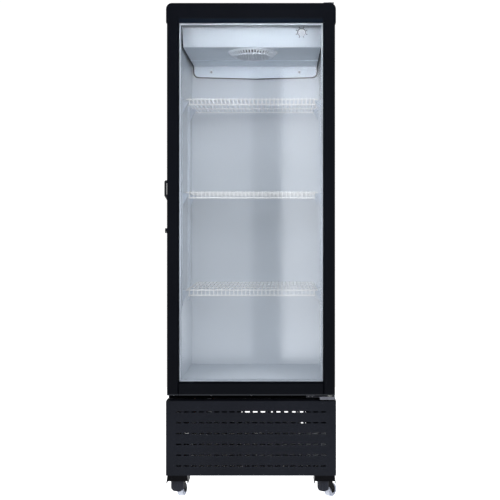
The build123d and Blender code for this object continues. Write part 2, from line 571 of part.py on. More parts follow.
# ======== Shelves, standards and clips ========
standard_z = (713.0, 1505.0)
standard_slots = 31
standard_face = Rectangle(STANDARD_WIDTH, standard_z[1] - standard_z[0])
standard_face -= [place * Rectangle(4.0, 13.0) for place in GridLocations(1, 25.0, 1, standard_slots)]
face_in = -INNER_HALF + STANDARD_DEPTH
standard = extrude(Plane.YZ.offset(face_in - 2.0) * standard_face, amount=2.0)
for leg_y in (-STANDARD_WIDTH / 2, STANDARD_WIDTH / 2 - 2.0):
    leg = block((-INNER_HALF, face_in - 1.0), (leg_y, leg_y + 2.0), standard_z)
    standard += Pos(0, 0, -sum(standard_z) / 2) * leg
standards = []
clips = []
rest_drop = ROD / 2 + WIRE - WELD_BITE + REST_GAP
for standard_y in STANDARD_YS:
    standards += pair(Pos(0, standard_y, sum(standard_z) / 2) * standard)
    for level in SHELF_LEVELS.values():
        top = level - rest_drop
        clip_outline = [
            (face_in, top), (face_in + CLIP_LENGTH, top), (face_in + CLIP_LENGTH, top - 5.0),
            (face_in, top - CLIP_HEIGHT),
        ]
        clip_y = (standard_y - CLIP_WIDTH / 2, standard_y + CLIP_WIDTH / 2)
        clips += pair(along_y(clip_outline, clip_y))
save("shelf_standards", *standards)
save("shelf_clips", *clips)


def wire_shelf():
    """Welded wire shelf about its own level: bent rods over cross wires, side rails and a front lip."""
    wire_z = -(ROD + WIRE) / 2 + WELD_BITE
    lip_y = SHELF_FRONT
    pieces = []
    for index in range(ROD_COUNT):
        x = -ROD_SPAN / 2 + index * ROD_SPAN / (ROD_COUNT - 1)
        path = FilletPolyline((x, SHELF_BACK, 0), (x, lip_y, 0), (x, lip_y, -LIP_DROP), radius=3.5)
        pieces.append(sweep(Plane(origin=path @ 0, z_dir=path % 0) * Circle(ROD / 2), path=path))
    for wire_y in (lip_y + 5.0, lip_y + 145.0, lip_y + 285.0, SHELF_BACK - 5.0):
        pieces.append(rod((-SHELF_HALF, wire_y, wire_z), (SHELF_HALF, wire_y, wire_z), WIRE))
    for side in (-SHELF_HALF, SHELF_HALF):
        pieces.append(rod((side, lip_y + 2.5, wire_z), (side, SHELF_BACK - 2.5, wire_z), WIRE))
    lip_wire_y = lip_y + (ROD + WIRE) / 2 - WELD_BITE
    lip_z = -LIP_DROP + 3.0
    pieces.append(rod((-ROD_SPAN / 2 - 4, lip_wire_y, lip_z), (ROD_SPAN / 2 + 4, lip_wire_y, lip_z), WIRE))
    return pieces[0].fuse(*pieces[1:])


shelf = wire_shelf()
for name, level in SHELF_LEVELS.items():
    save(f"{name}_shelf", Pos(0, 0, level) * shelf)

# ======== Casters ========
bracket_z = (PLINTH_BOTTOM - 4.0, PLINTH_BOTTOM)
flange_bottom = 66.0
flange_splay = 4.0
KINGPIN = 12.0
half_bracket = BRACKET_WIDTH / 2
bracket = block((-half_bracket, half_bracket), (-BRACKET_DEPTH / 2, BRACKET_DEPTH / 2), bracket_z)
flange = along_y([
    (-half_bracket, bracket_z[1]), (-half_bracket + 2.5, bracket_z[1]),
    (-half_bracket + 2.5 - flange_splay, flange_bottom), (-half_bracket - flange_splay, flange_bottom)],
    (-BRACKET_DEPTH / 2, BRACKET_DEPTH / 2))
for side_flange in pair(flange):
    bracket += side_flange
apron_y = (-BRACKET_DEPTH / 2, -BRACKET_DEPTH / 2 + 2.5)
bracket += block((-half_bracket, half_bracket), apron_y, (74.5, bracket_z[1]))
bracket += rod((0, 0, CROWN_TOP + REST_GAP), (0, 0, bracket_z[0]), 44.0)
bracket += rod((0, 0, 64.0), (0, 0, bracket_z[0]), KINGPIN)
bracket += rod((0, 0, 64.0), (0, 0, 69.0 - REST_GAP), 20.0)

LEG_IN, LEG_OUT = WHEEL_WIDTH / 2 + 1.5, WHEEL_WIDTH / 2 + 4.5
AXLE = 8.0
wheel_z = WHEEL_DIAMETER / 2
PIVOT_PIN = 5.0


def caster_fork(with_pivots):
    """Swivel fork about the kingpin on the Z axis, with the wheel's axle behind it on +Y."""
    fork = block((-LEG_OUT, LEG_OUT), (-9.0, 20.0), (69.0, 75.0))
    fork += rod((0, 0, 75.0), (0, 0, CROWN_TOP), 44.0)
    leg_outline = [(-9.0, 75.0), (20.0, 75.0), (TRAIL + 9.0, 32.0), (TRAIL + 7.0, 17.0), (TRAIL - 6.0, 16.0),
                   (20.0, 36.0), (-9.0, 58.0)]
    for side in (-LEG_OUT, LEG_IN):
        fork += along_x(leg_outline, (side, side + LEG_OUT - LEG_IN))
    fork += rod((-LEG_OUT - 2.5, TRAIL, wheel_z), (LEG_OUT + 2.5, TRAIL, wheel_z), AXLE)
    if with_pivots:
        for side in (-1, 1):
            fork += rod((side * LEG_OUT, *PEDAL_PIVOT), (side * (LEG_OUT + 4.0), *PEDAL_PIVOT), PIVOT_PIN)
    return fork - rod((0, 0, 60.0), (0, 0, CROWN_TOP), KINGPIN + 2 * RUNNING_FIT)


def caster_wheel():
    """Moulded wheel on the fork's axle, with rounded shoulders and dished sides."""
    half, bore = WHEEL_WIDTH / 2, AXLE / 2 + RUNNING_FIT
    upper_side = [
        (wheel_z, half - 2.5),
        (wheel_z - 2.5, half),
        (wheel_z - 4.5, half),
        (wheel_z - 6.0, half - 3.5),
        (9.0, half - 3.5),
        (8.0, half + 1.0),
        (bore, half + 1.0),
    ]
    lower_side = [(radius, -height) for radius, height in reversed(upper_side)]
    outline = make_face(Polyline(*lower_side, *upper_side, close=True))
    wheel = revolve(Plane.XZ * outline, Axis.Z)
    return Pos(0, TRAIL, wheel_z) * Rot(0, 90, 0) * wheel


def brake_pedal():
    """Toe pedal in front of the fork: a bowed ribbed plate, two cheeks on the fork's pivots and a shoe."""
    bow, thickness, half_width = 45.0, 4.5, 25.0
    plate_z = (31.0, 70.0)
    bow_centre = (0, -19.0 + bow, 0)
    ring = Pos(*bow_centre) * (Cylinder(bow, 200.0) - Cylinder(bow - thickness, 200.0))
    for index in range(5):
        rib_angle = -90 + (index - 2) * 10
        ring += Pos(*bow_centre) * Rot(0, 0, rib_angle) * Pos(bow, 0, 0) * Cylinder(0.9, 200.0)
    mask_face = make_face(Polyline((-half_width, plate_z[1]), (half_width, plate_z[1]),
                                   (half_width, plate_z[0] + 7), (12.0, plate_z[0]), (-12.0, plate_z[0]),
                                   (-half_width, plate_z[0] + 7), close=True))
    mask_face = fillet([v for v in mask_face.vertices() if v.Y < plate_z[1] - 1], 8.0)
    mask = extrude(Plane.XZ * mask_face, amount=40.0)
    pedal = ring & mask
    cheek_outline = [(-14.5, 69.0), (3.5, 69.0), (4.5, 64.0), (3.5, 60.0), (-12.0, 50.0)]
    for side in (-1, 1):
        cheek_x = sorted((side * (LEG_OUT + 0.5), side * (LEG_OUT + 3.0)))
        pedal += along_x(cheek_outline, cheek_x)
    pedal += along_x([(-15.5, 46.0), (8.0, 42.0), (9.0, 36.0), (-15.5, 34.0)], (-6.0, 6.0))
    return pedal - rod((-40.0, *PEDAL_PIVOT), (40.0, *PEDAL_PIVOT), PIVOT_PIN + 2 * RUNNING_FIT)


brackets = []
for corner, turn in CASTER_TURN.items():
    end, side = corner.split("_")
    at = Pos(-CASTER_X if side == "left" else CASTER_X, CASTER_YS[end], 0)
    brackets.append(at * bracket)
    turned = at * Rot(0, 0, -turn)
    save(f"caster_fork_{corner}", turned * caster_fork(end == "front"))
    save(f"caster_wheel_{corner}", turned * caster_wheel())
    if end == "front":
        save(f"brake_pedal_{corner}", turned * brake_pedal())
save("caster_brackets", *brackets)

# ======== Screws that show: pan heads seated on the sheets ========
HEAD, HEAD_HEIGHT = 8.0, 2.4
heads = []
for x in (-290.0, -150.0, 0.0, 150.0):
    heads.append(rod((x, FACE, 385.0), (x, FACE - HEAD_HEIGHT, 385.0), HEAD))
for x in (214.0, 228.0, 262.0):
    heads.append(rod((x, FACE - 3.0, 380.0), (x, FACE - 3.0 - HEAD_HEIGHT, 380.0), 6.0))
for x in (-cover_screws_x, cover_screws_x):
    heads.append(rod((x, cover_back - COVER_WALL, cover_screw_z), (x, cover_back - 6.0, cover_screw_z), 10.0))
for x, y in ((278.0, -222.0), (278.0, -192.0), (297.0, -207.0)):
    heads.append(rod((x, y, roof_plate_top), (x, y, roof_plate_top + HEAD_HEIGHT), HEAD))
for z in (130.0, 340.0):
    heads += pair(rod((-plinth_half, -262.0, z), (-plinth_half - 1.8, -262.0, z), HEAD))
save("cabinet_screws", *heads)
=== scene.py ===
"""Looks of the glass door merchandiser: finishes, fine pieces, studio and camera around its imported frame."""

import json
import logging
import math
from dataclasses import dataclass, field
from enum import Enum

import bmesh
import bpy
from mathutils import Matrix, Vector


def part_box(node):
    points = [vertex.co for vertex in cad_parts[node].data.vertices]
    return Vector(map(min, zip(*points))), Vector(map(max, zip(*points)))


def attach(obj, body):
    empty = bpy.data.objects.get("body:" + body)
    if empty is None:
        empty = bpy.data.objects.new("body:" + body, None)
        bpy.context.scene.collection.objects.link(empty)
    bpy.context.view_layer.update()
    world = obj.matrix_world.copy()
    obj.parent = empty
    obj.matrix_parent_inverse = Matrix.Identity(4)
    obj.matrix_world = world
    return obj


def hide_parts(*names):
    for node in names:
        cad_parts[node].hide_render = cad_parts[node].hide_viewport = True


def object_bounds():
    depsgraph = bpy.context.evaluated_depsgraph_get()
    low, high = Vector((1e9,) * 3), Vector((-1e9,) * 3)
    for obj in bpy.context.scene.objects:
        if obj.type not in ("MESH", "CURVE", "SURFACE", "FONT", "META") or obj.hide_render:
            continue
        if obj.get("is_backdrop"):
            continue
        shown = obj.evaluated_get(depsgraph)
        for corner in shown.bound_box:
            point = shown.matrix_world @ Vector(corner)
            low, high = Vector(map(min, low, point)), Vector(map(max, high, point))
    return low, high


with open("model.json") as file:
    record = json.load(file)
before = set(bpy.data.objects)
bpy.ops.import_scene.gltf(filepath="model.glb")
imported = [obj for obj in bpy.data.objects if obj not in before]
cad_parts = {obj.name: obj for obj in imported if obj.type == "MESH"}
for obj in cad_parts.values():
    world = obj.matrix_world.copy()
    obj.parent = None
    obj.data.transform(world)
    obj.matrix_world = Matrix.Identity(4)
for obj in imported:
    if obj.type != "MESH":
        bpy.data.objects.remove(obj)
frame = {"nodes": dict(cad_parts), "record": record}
LOG = logging.getLogger("merchandiser")
Colour = tuple[float, float, float]


# ---------------------------------------------------------------------------------------------
# Finishes
# ---------------------------------------------------------------------------------------------


class Grain(Enum):
    """How a finish's small pattern runs over the surface."""

    EVEN = (1.0, 1.0, 1.0)
    UPRIGHT = (1.0, 1.0, 0.04)
    LEVEL = (0.04, 1.0, 1.0)


class Shading:
    """One material's node tree, with short ways to add and join its nodes."""

    def __init__(self, name: str) -> None:
        """Start a material with one Principled shader.

        Args:
            name: The material's name.
        """
        self.material = bpy.data.materials.new(name)
        self.material.use_nodes = True
        self.tree = self.material.node_tree
        self.shader = self.tree.nodes["Principled BSDF"]
        self.output = self.tree.nodes["Material Output"]
        self.coordinates = self.tree.nodes.new("ShaderNodeTexCoord").outputs["Object"]

    def node(self, kind: str, **values: object) -> bpy.types.Node:
        """Add a node and set its inputs.

        Args:
            kind: The node's type name without its ShaderNode prefix.
            values: Input names, with underscores for spaces, and what they hold or are joined to.

        Returns:
            The new node.
        """
        made = self.tree.nodes.new("ShaderNode" + kind)
        for name, value in values.items():
            socket = made.inputs[name.replace("_", " ")]
            if isinstance(value, bpy.types.NodeSocket):
                self.tree.links.new(value, socket)
            else:
                socket.default_value = value
        return made

    def link(self, source: bpy.types.NodeSocket, name: str) -> None:
        """Join a socket to one of the shader's inputs."""
        self.tree.links.new(source, self.shader.inputs[name])

    def set(self, **values: object) -> None:
        """Set plain values on the shader's inputs."""
        for name, value in values.items():
            self.shader.inputs[name.replace("_", " ")].default_value = value

    def stretched(self, grain: Grain) -> bpy.types.NodeSocket:
        """Object coordinates, squeezed so that a pattern runs as the grain says."""
        mapping = self.node("Mapping", Vector=self.coordinates)
        mapping.inputs["Scale"].default_value = grain.value
        return mapping.outputs["Vector"]

    def noise(self, scale: float, detail: float = 2.0, grain: Grain = Grain.EVEN) -> bpy.types.NodeSocket:
        """A noise value over the piece.

        Args:
            scale: Waves per metre.
            detail: How many finer layers it holds.
            grain: Which way it runs.

        Returns:
            The noise's value socket.
        """
        vector = self.stretched(grain)
        return self.node("TexNoise", Vector=vector, Scale=scale, Detail=detail).outputs["Fac"]

    def between(self, value: bpy.types.NodeSocket, low: float, high: float) -> bpy.types.NodeSocket:
        """Map a noise value's usual span onto low to high."""
        mapped = self.node("MapRange", Value=value, From_Min=0.3, From_Max=0.7, To_Min=low, To_Max=high)
        return mapped.outputs["Result"]

    def tones(self, value: bpy.types.NodeSocket, first: Colour, second: Colour) -> bpy.types.NodeSocket:
        """A colour that runs from first to second as value grows."""
        ramp = self.node("ValToRGB", Fac=value)
        ramp.color_ramp.elements[0].position = 0.3
        ramp.color_ramp.elements[0].color = (*first, 1.0)
        ramp.color_ramp.elements[1].position = 0.7
        ramp.color_ramp.elements[1].color = (*second, 1.0)
        return ramp.outputs["Color"]

    def bump(self, height: bpy.types.NodeSocket, strength: float, distance: float) -> None:
        """Raise the surface by a height value.

        Args:
            height: The value to raise it by.
            strength: How strongly it shows.
            distance: The full height in metres.
        """
        raised = self.node("Bump", Height=height, Strength=strength, Distance=distance)
        self.link(raised.outputs["Normal"], "Normal")


def scaled(colour: Colour, factor: float) -> Colour:
    """A colour made lighter or darker by a factor."""
    return tuple(min(1.0, part * factor) for part in colour)


@dataclass(frozen=True)
class Coated:
    """A paint or powder coat: two close tones, uneven gloss and a fine skin texture."""

    name: str
    colour: Colour
    roughness: float = 0.45
    unevenness: float = 0.06
    skin_scale: float = 900.0
    skin: float = 0.12
    specular: float = 0.3
    drift: float = 0.12
    metallic: float = 0.0
    grain: Grain = Grain.EVEN

    def make(self) -> bpy.types.Material:
        """Build the material.

        Returns:
            The finished material.
        """
        work = Shading(self.name)
        wide = work.noise(3.5, 3.0)
        tone = work.tones(wide, scaled(self.colour, 1.0 - self.drift), scaled(self.colour, 1.0 + self.drift))
        work.link(tone, "Base Color")
        smear = work.noise(26.0, 4.0, self.grain)
        low, high = self.roughness - self.unevenness, self.roughness + self.unevenness
        work.link(work.between(smear, low, high), "Roughness")
        work.bump(work.noise(self.skin_scale, 2.0, self.grain), self.skin, 0.0004)
        work.shader.inputs["Specular IOR Level"].default_value = self.specular
        work.set(Metallic=self.metallic)
        return work.material


@dataclass(frozen=True)
class FramePaint:
    """Black door paint with a painted navy reflection along the header's bevel over the window and a painted
    highlight as a paler line along the foot.
    """

    name: str
    colour: Colour
    # painted reflection: the navy that the glossy header bevel shows over the window
    reflection_colour: Colour
    # painted highlight: the paler line where the foot's edge catches light
    highlight_colour: Colour
    half_window: float
    window: tuple[float, float]
    foot_top: float
    roughness: float = 0.4
    specular: float = 0.04

    def inside(self, work: Shading, value: bpy.types.NodeSocket, middle: float,
               half: float) -> bpy.types.NodeSocket:
        """One where a coordinate lies within half of middle, else nothing.

        Args:
            work: The shading being built.
            value: The coordinate.
            middle: The span's middle.
            half: Half the span.

        Returns:
            The test's socket.
        """
        test = work.node("Math")
        test.operation = "COMPARE"
        work.tree.links.new(value, test.inputs[0])
        test.inputs[1].default_value = middle
        test.inputs[2].default_value = half
        return test.outputs["Value"]

    def mixed(self, work: Shading, mask: bpy.types.NodeSocket, first: bpy.types.NodeSocket,
              second: Colour) -> bpy.types.NodeSocket:
        """A colour that turns from first to second where the mask is one.

        Args:
            work: The shading being built.
            mask: The mask.
            first: The colour where it is nothing.
            second: The colour where it is one.

        Returns:
            The mixed colour's socket.
        """
        blend = work.tree.nodes.new("ShaderNodeMix")
        blend.data_type = "RGBA"
        work.tree.links.new(mask, blend.inputs["Factor"])
        work.tree.links.new(first, blend.inputs["A"])
        blend.inputs["B"].default_value = (*second, 1.0)
        return blend.outputs["Result"]

    def make(self) -> bpy.types.Material:
        """Build the material.

        Returns:
            The finished material.
        """
        work = Shading(self.name)
        place = work.node("SeparateXYZ", Vector=work.coordinates)
        middle, half = sum(self.window) / 2, (self.window[1] - self.window[0]) / 2
        # Mask of the painted reflection: across the window's width and up the header's bevel band.
        across = self.inside(work, place.outputs["X"], 0.0, self.half_window)
        along = self.inside(work, place.outputs["Z"], middle, half)
        both = work.node("Math")
        both.operation = "MULTIPLY"
        work.tree.links.new(across, both.inputs[0])
        work.tree.links.new(along, both.inputs[1])
        tone = work.tones(work.noise(3.0, 3.0), scaled(self.colour, 0.85), scaled(self.colour, 1.2))
        # Painted reflection: the navy colour laid over the header's bevel band.
        tone = self.mixed(work, both.outputs["Value"], tone, self.reflection_colour)
        # Painted highlight: a paler line along the foot of the bottom rail.
        foot = self.inside(work, place.outputs["Z"], self.foot_top - 1.0, 1.0)
        work.link(self.mixed(work, foot, tone, self.highlight_colour), "Base Color")
        smear = work.noise(22.0, 4.0)
        work.link(work.between(smear, self.roughness - 0.05, self.roughness + 0.07), "Roughness")
        work.bump(work.noise(1100.0), 0.08, 0.0003)
        work.shader.inputs["Specular IOR Level"].default_value = self.specular
        return work.material


@dataclass(frozen=True)
class GlowingLens:
    """A milky lens over a strip of lamps."""

    name: str
    colour: Colour
    strength: float

    def make(self) -> bpy.types.Material:
        """Build the material.

        Returns:
            The finished material.
        """
        work = Shading(self.name)
        lamps = work.noise(60.0, 1.0, Grain.EVEN)
        work.link(work.tones(lamps, scaled(self.colour, 0.92), self.colour), "Base Color")
        work.link(work.tones(lamps, scaled(self.colour, 0.85), self.colour), "Emission Color")
        work.shader.inputs["Emission Strength"].default_value = self.strength
        work.set(Roughness=0.35)
        return work.material


@dataclass(frozen=True)
class ClearPane:
    """Float glass: clear straight on, more of a mirror towards grazing."""

    name: str
    tint: Colour = (0.985, 0.99, 0.995)
    index: float = 1.45
    roughness: float = 0.075

    def make(self) -> bpy.types.Material:
        """Build the material.

        Returns:
            The finished material.
        """
        work = Shading(self.name)
        clear = work.node("BsdfTransparent", Color=(*self.tint, 1.0))
        film = work.noise(9.0, 3.0)
        gloss = work.node("BsdfGlossy", Color=(0.95, 0.97, 1.0, 1.0))
        haze = work.between(film, self.roughness * 0.8, self.roughness * 1.2)
        work.tree.links.new(haze, gloss.inputs["Roughness"])
        facing = work.node("Fresnel", IOR=self.index)
        mixed = work.node("MixShader", Fac=facing.outputs["Fac"])
        work.tree.links.new(clear.outputs["BSDF"], mixed.inputs[1])
        work.tree.links.new(gloss.outputs["BSDF"], mixed.inputs[2])
        work.tree.links.new(mixed.outputs["Shader"], work.output.inputs["Surface"])
        return work.material


@dataclass(frozen=True)
class MilkyNylon:
    """Unfilled nylon: pale and a little see-through, with light inside it."""

    name: str
    colour: Colour
    depth: float = 0.004

    def make(self) -> bpy.types.Material:
        """Build the material.

        Returns:
            The finished material.
        """
        work = Shading(self.name)
        haze = work.noise(70.0, 3.0)
        work.link(work.tones(haze, scaled(self.colour, 0.9), self.colour), "Base Color")
        work.link(work.between(work.noise(140.0), 0.28, 0.42), "Roughness")
        work.bump(work.noise(420.0), 0.1, 0.0004)
        work.shader.inputs["Subsurface Weight"].default_value = 0.6
        work.shader.inputs["Subsurface Radius"].default_value = (self.depth, self.depth, self.depth)
        return work.material


# Height of the header's band of painted navy reflection.
HEADER_REFLECTION_BAND = 0.0135
# Height of the foot's painted highlight line.
FOOT_HIGHLIGHT_BAND = 0.0045
CAP_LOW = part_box("door_top_cap")[0]
RAIL_LOW, RAIL_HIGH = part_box("door_bottom_rail")
# Its second colour is the painted navy reflection on the header bevel, its third the painted highlight along
# the foot.
BLACK_FRAME = FramePaint(
    "door_frame_black", (0.0023, 0.0028, 0.0044), (0.0012, 0.0034, 0.0076), (0.02, 0.022, 0.026),
    half_window=RAIL_HIGH.x,
    window=(CAP_LOW.z, CAP_LOW.z + HEADER_REFLECTION_BAND),
    foot_top=RAIL_LOW.z + FOOT_HIGHLIGHT_BAND,
)
BLACK_HANDLE = Coated("handle_black", (0.007, 0.0072, 0.009), 0.42, specular=0.3, skin=0.1)
BLACK_SHELL = Coated("shell_black", (0.007, 0.0078, 0.0105), 0.42, 0.02, specular=0.25, skin=0.2)
PLINTH = Coated("plinth_charcoal", (0.0066, 0.0076, 0.0112), 0.6, specular=0.08, skin=0.25, skin_scale=1400.0)
BREAKER = Coated("breaker_black", (0.003, 0.0033, 0.005), 0.5, specular=0.1)
BEAM = Coated("beam_black", (0.0015, 0.0016, 0.0028), 0.6, specular=0.04)
# Painted shade: the dark strip that stands for the shade in the gap round the cover and under its lip.
COVER_SHADE_STRIP = Coated("cover_seam", (0.022, 0.028, 0.045), 0.7, specular=0.1, skin=0.3)
FAN_WELL = Coated("fan_well", (0.006, 0.007, 0.01), 0.6, specular=0.1)
PRINT = Coated("printed_grey", (0.11, 0.13, 0.17), 0.45)
LINER = Coated("liner_grey", (0.6, 0.64, 0.69), 0.36, specular=0.4, skin=0.05, drift=0.02)
COVER = Coated("cover_white", (0.83, 0.9, 0.98), 0.18, 0.03, specular=0.85, skin=0.02, drift=0.02)
GUARD = Coated("guard_white", (0.8, 0.84, 0.9), 0.35, specular=0.5, skin=0.04, drift=0.02)
WHITE_WIRE = Coated("shelf_white", (0.7, 0.78, 0.93), 0.3, specular=0.5, skin=0.1, drift=0.03)
CLIP_WHITE = Coated("clip_white", (0.5, 0.56, 0.65), 0.35, specular=0.4, skin=0.1, drift=0.05)
STANDARD = Coated("standard_white", (0.56, 0.61, 0.68), 0.38, specular=0.4, skin=0.08, drift=0.03)
GASKET = Coated("gasket_rubber", (0.012, 0.012, 0.014), 0.75, specular=0.2, skin=0.2)
ZINC = Coated(
    "hinge_zinc", (0.12, 0.125, 0.15), 0.42, metallic=0.6, specular=0.5, skin=0.1, grain=Grain.LEVEL,
)
STEEL = Coated("fastener_steel", (0.42, 0.43, 0.46), 0.3, metallic=0.9, specular=0.5, skin=0.05)
GALVANISED = Coated("galvanised_sheet", (0.45, 0.47, 0.5), 0.4, metallic=0.8, skin_scale=120.0, drift=0.25)
COPPER = Coated("copper", (0.62, 0.29, 0.17), 0.32, metallic=1.0, skin=0.05, drift=0.2)
ALUMINIUM = Coated("coil_aluminium", (0.62, 0.64, 0.67), 0.36, metallic=0.95, grain=Grain.UPRIGHT)
COIL_BLACK = Coated("coil_black", (0.02, 0.02, 0.023), 0.6, skin=0.3)
POT_BLACK = Coated("compressor_black", (0.009, 0.009, 0.01), 0.22, specular=0.5, skin=0.3, skin_scale=300.0)
WHITE_PLASTIC = Coated("white_plastic", (0.72, 0.75, 0.78), 0.35, specular=0.4, skin=0.08, drift=0.05)
NYLON_BUSH = Coated("bush_nylon", (0.7, 0.7, 0.66), 0.4)
SPACER = Coated("spacer_aluminium", (0.5, 0.55, 0.62), 0.4, metallic=0.2, skin_scale=600.0)
FAN_BLACK = Coated("fan_black", (0.012, 0.012, 0.014), 0.4, skin=0.15)
MOTOR = Coated("motor_steel", (0.3, 0.31, 0.33), 0.4, metallic=0.7, drift=0.15)
CASTER_BLACK = Coated("caster_black", (0.0012, 0.0012, 0.002), 0.45, specular=0.05, skin=0.2)
DIAL = Coated("dial_white", (0.8, 0.83, 0.88), 0.35, specular=0.4, skin=0.05, drift=0.03)
PEDAL = Coated("pedal_grey", (0.014, 0.0155, 0.022), 0.55, specular=0.12, skin=0.35, skin_scale=700.0)
FOAM = Coated("foam", (0.75, 0.66, 0.4), 0.8, skin=0.8, skin_scale=180.0)
LOCK_STEEL = Coated("lock_steel", (0.05, 0.05, 0.055), 0.25, metallic=0.6, specular=0.5)
GLASS = ClearPane("clear_glass")
NYLON = MilkyNylon("wheel_nylon", (0.44, 0.465, 0.54))
LENS = GlowingLens("led_diffuser", (0.7, 0.76, 0.84), 0.15)


class FinishBook:
    """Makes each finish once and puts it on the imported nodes."""

    def __init__(self) -> None:
        """Start with no finish made."""
        self.made: dict[str, bpy.types.Material] = {}

    def material(self, finish: object) -> bpy.types.Material:
        """The finish's one material, made when it is first asked for."""
        if finish.name not in self.made:
            self.made[finish.name] = finish.make()
        return self.made[finish.name]

    def dress(self, finish: object, *nodes: str) -> None:
        """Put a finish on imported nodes.

        Args:
            finish: The finish to use.
            nodes: The names of the nodes.
        """
        for name in nodes:
            packed = frame["nodes"][name]
            packed.data.materials.clear()
            packed.data.materials.append(self.material(finish))
            LOG.info("%s in %s", name, finish.name)


BOOK = FinishBook()


# ---------------------------------------------------------------------------------------------
# Geometry Nodes and mesh helpers
# ---------------------------------------------------------------------------------------------


class Growth:
    """One Geometry Nodes tree, built here, run once on a seed mesh and then turned into a plain mesh."""

    def __init__(self, name: str, **inputs: float | int) -> None:
        """Start a tree with a geometry input and named sizes.

        Args:
            name: The tree's name.
            inputs: The named sizes and counts and their values.
        """
        self.tree = bpy.data.node_groups.new(name, "GeometryNodeTree")
        face = self.tree.interface
        face.new_socket("Geometry", in_out="INPUT", socket_type="NodeSocketGeometry")
        face.new_socket("Geometry", in_out="OUTPUT", socket_type="NodeSocketGeometry")
        self.values: dict[str, float | int] = {}
        for label, value in inputs.items():
            kind = "NodeSocketInt" if isinstance(value, int) else "NodeSocketFloat"
            socket = face.new_socket(label, in_out="INPUT", socket_type=kind)
            self.values[socket.identifier] = value
        self.start = self.tree.nodes.new("NodeGroupInput")
        self.end = self.tree.nodes.new("NodeGroupOutput")

    def node(self, kind: str, **values: object) -> bpy.types.Node:
        """Add a geometry or function node and set or join its inputs.

        Args:
            kind: The node's full type name.
            values: Input names, with underscores for spaces, and what they hold or are joined to.

        Returns:
            The new node.
        """
        made = self.tree.nodes.new(kind)
        for name, value in values.items():
            socket = made.inputs[name.replace("_", " ")]
            if isinstance(value, bpy.types.NodeSocket):
                self.tree.links.new(value, socket)
            else:
                socket.default_value = value
        return made

    def size(self, label: str) -> bpy.types.NodeSocket:
        """The socket of one named input."""
        return self.start.outputs[label]

    def close(self, geometry: bpy.types.NodeSocket, finish: object) -> None:
        """End the tree in Realize Instances and Set Material.

        Args:
            geometry: What the tree has made.
            finish: The finish of the result.
        """
        real = self.node("GeometryNodeRealizeInstances", Geometry=geometry)
        painted = self.node("GeometryNodeSetMaterial", Geometry=real.outputs["Geometry"])
        painted.inputs["Material"].default_value = BOOK.material(finish)
        self.tree.links.new(painted.outputs["Geometry"], self.end.inputs["Geometry"])

    def grow(self, seed: bpy.types.Mesh, name: str) -> bpy.types.Object:
        """Run the tree on a seed mesh and keep the result as a plain mesh.

        Args:
            seed: The mesh that goes into the tree.
            name: The piece's name.

        Returns:
            A new object at the origin with no modifier.
        """
        piece = bpy.data.objects.new(name, seed)
        bpy.context.scene.collection.objects.link(piece)
        modifier = piece.modifiers.new(self.tree.name, "NODES")
        modifier.node_group = self.tree
        for identifier, value in self.values.items():
            modifier[identifier] = value
        bpy.context.view_layer.update()
        graph = bpy.context.evaluated_depsgraph_get()
        result = bpy.data.meshes.new_from_object(piece.evaluated_get(graph))
        piece.modifiers.clear()
        piece.data = result
        return piece


def joint(name: str) -> dict:
    """The record's entry for one joint."""
    return next(entry for entry in frame["record"]["behaviour"]["joints"] if entry["name"] == name)


def turned(name: str, outline: tuple[tuple[float, float], ...], sides: int,
           smooth: bool = True) -> bpy.types.Mesh:
    """A closed ring or disc turned about Z from a radius and height outline.

    Args:
        name: The mesh's name.
        outline: Radius and height of each corner, in order round the section.
        sides: How many steps make the turn.
        smooth: Whether its faces are smooth.

    Returns:
        The mesh.
    """
    build = bmesh.new()
    loops = []
    for step in range(sides):
        angle = 2 * math.pi * step / sides
        loops.append([build.verts.new((radius * math.cos(angle), radius * math.sin(angle), height))
                      for radius, height in outline])
    for step in range(sides):
        here, there = loops[step], loops[(step + 1) % sides]
        for index in range(len(outline)):
            after = (index + 1) % len(outline)
            build.faces.new((here[index], there[index], there[after], here[after]))
    bmesh.ops.remove_doubles(build, verts=build.verts, dist=1e-7)
    return mesh_from(build, name, smooth)


def knurled(name: str, outline: list[tuple[float, float]], height: float) -> bpy.types.Mesh:
    """A knob with a wavy edge, a rounded shoulder and a raised pointer bar.

    Args:
        name: The mesh's name.
        outline: Angle and radius of each point round the edge.
        height: How tall the knob stands.

    Returns:
        The mesh, on Z about the origin.
    """
    build = bmesh.new()
    shoulder = ((1.0, 0.7), (0.96, 0.85), (0.86, 0.93), (0.7, 0.93), (0.66, 0.8))
    levels = [(1.0, 0.0005)] + [(factor, part * height) for factor, part in shoulder]
    loops = []
    for factor, level in levels:
        loop = []
        for angle, radius in outline:
            reach = radius * factor
            loop.append(build.verts.new((reach * math.cos(angle), reach * math.sin(angle), level)))
        loops.append(loop)
    count = len(outline)
    for lower, upper in zip(loops, loops[1:]):
        for step in range(count):
            after = (step + 1) % count
            build.faces.new((lower[step], lower[after], upper[after], upper[step]))
    build.faces.new(list(reversed(loops[0])))
    build.faces.new(loops[-1])
    radius = outline[0][1]
    bar = bmesh.ops.create_cube(build, size=1.0)["verts"]
    bmesh.ops.scale(build, verts=bar, vec=(0.003, radius * 1.25, 0.25 * height))
    bmesh.ops.translate(build, verts=bar, vec=(0.0, 0.0, 0.88 * height))
    return mesh_from(build, name)


def panel_point(origin: Vector, out: Vector) -> Vector:
    """Where a line through origin along out leaves the cover's sloping front panel.

    Args:
        origin: A point on the line.
        out: The line's direction, out of the panel.

    Returns:
        The point on the panel's outer face.
    """
    panel = frame["nodes"]["evaporator_cover"]
    around = origin + Vector((0.03, 0.0, 0.0))
    hit, point, _, _ = panel.ray_cast(around + out * 0.1, -out)
    if not hit:
        return origin
    return point - Vector((0.03, 0.0, 0.0))


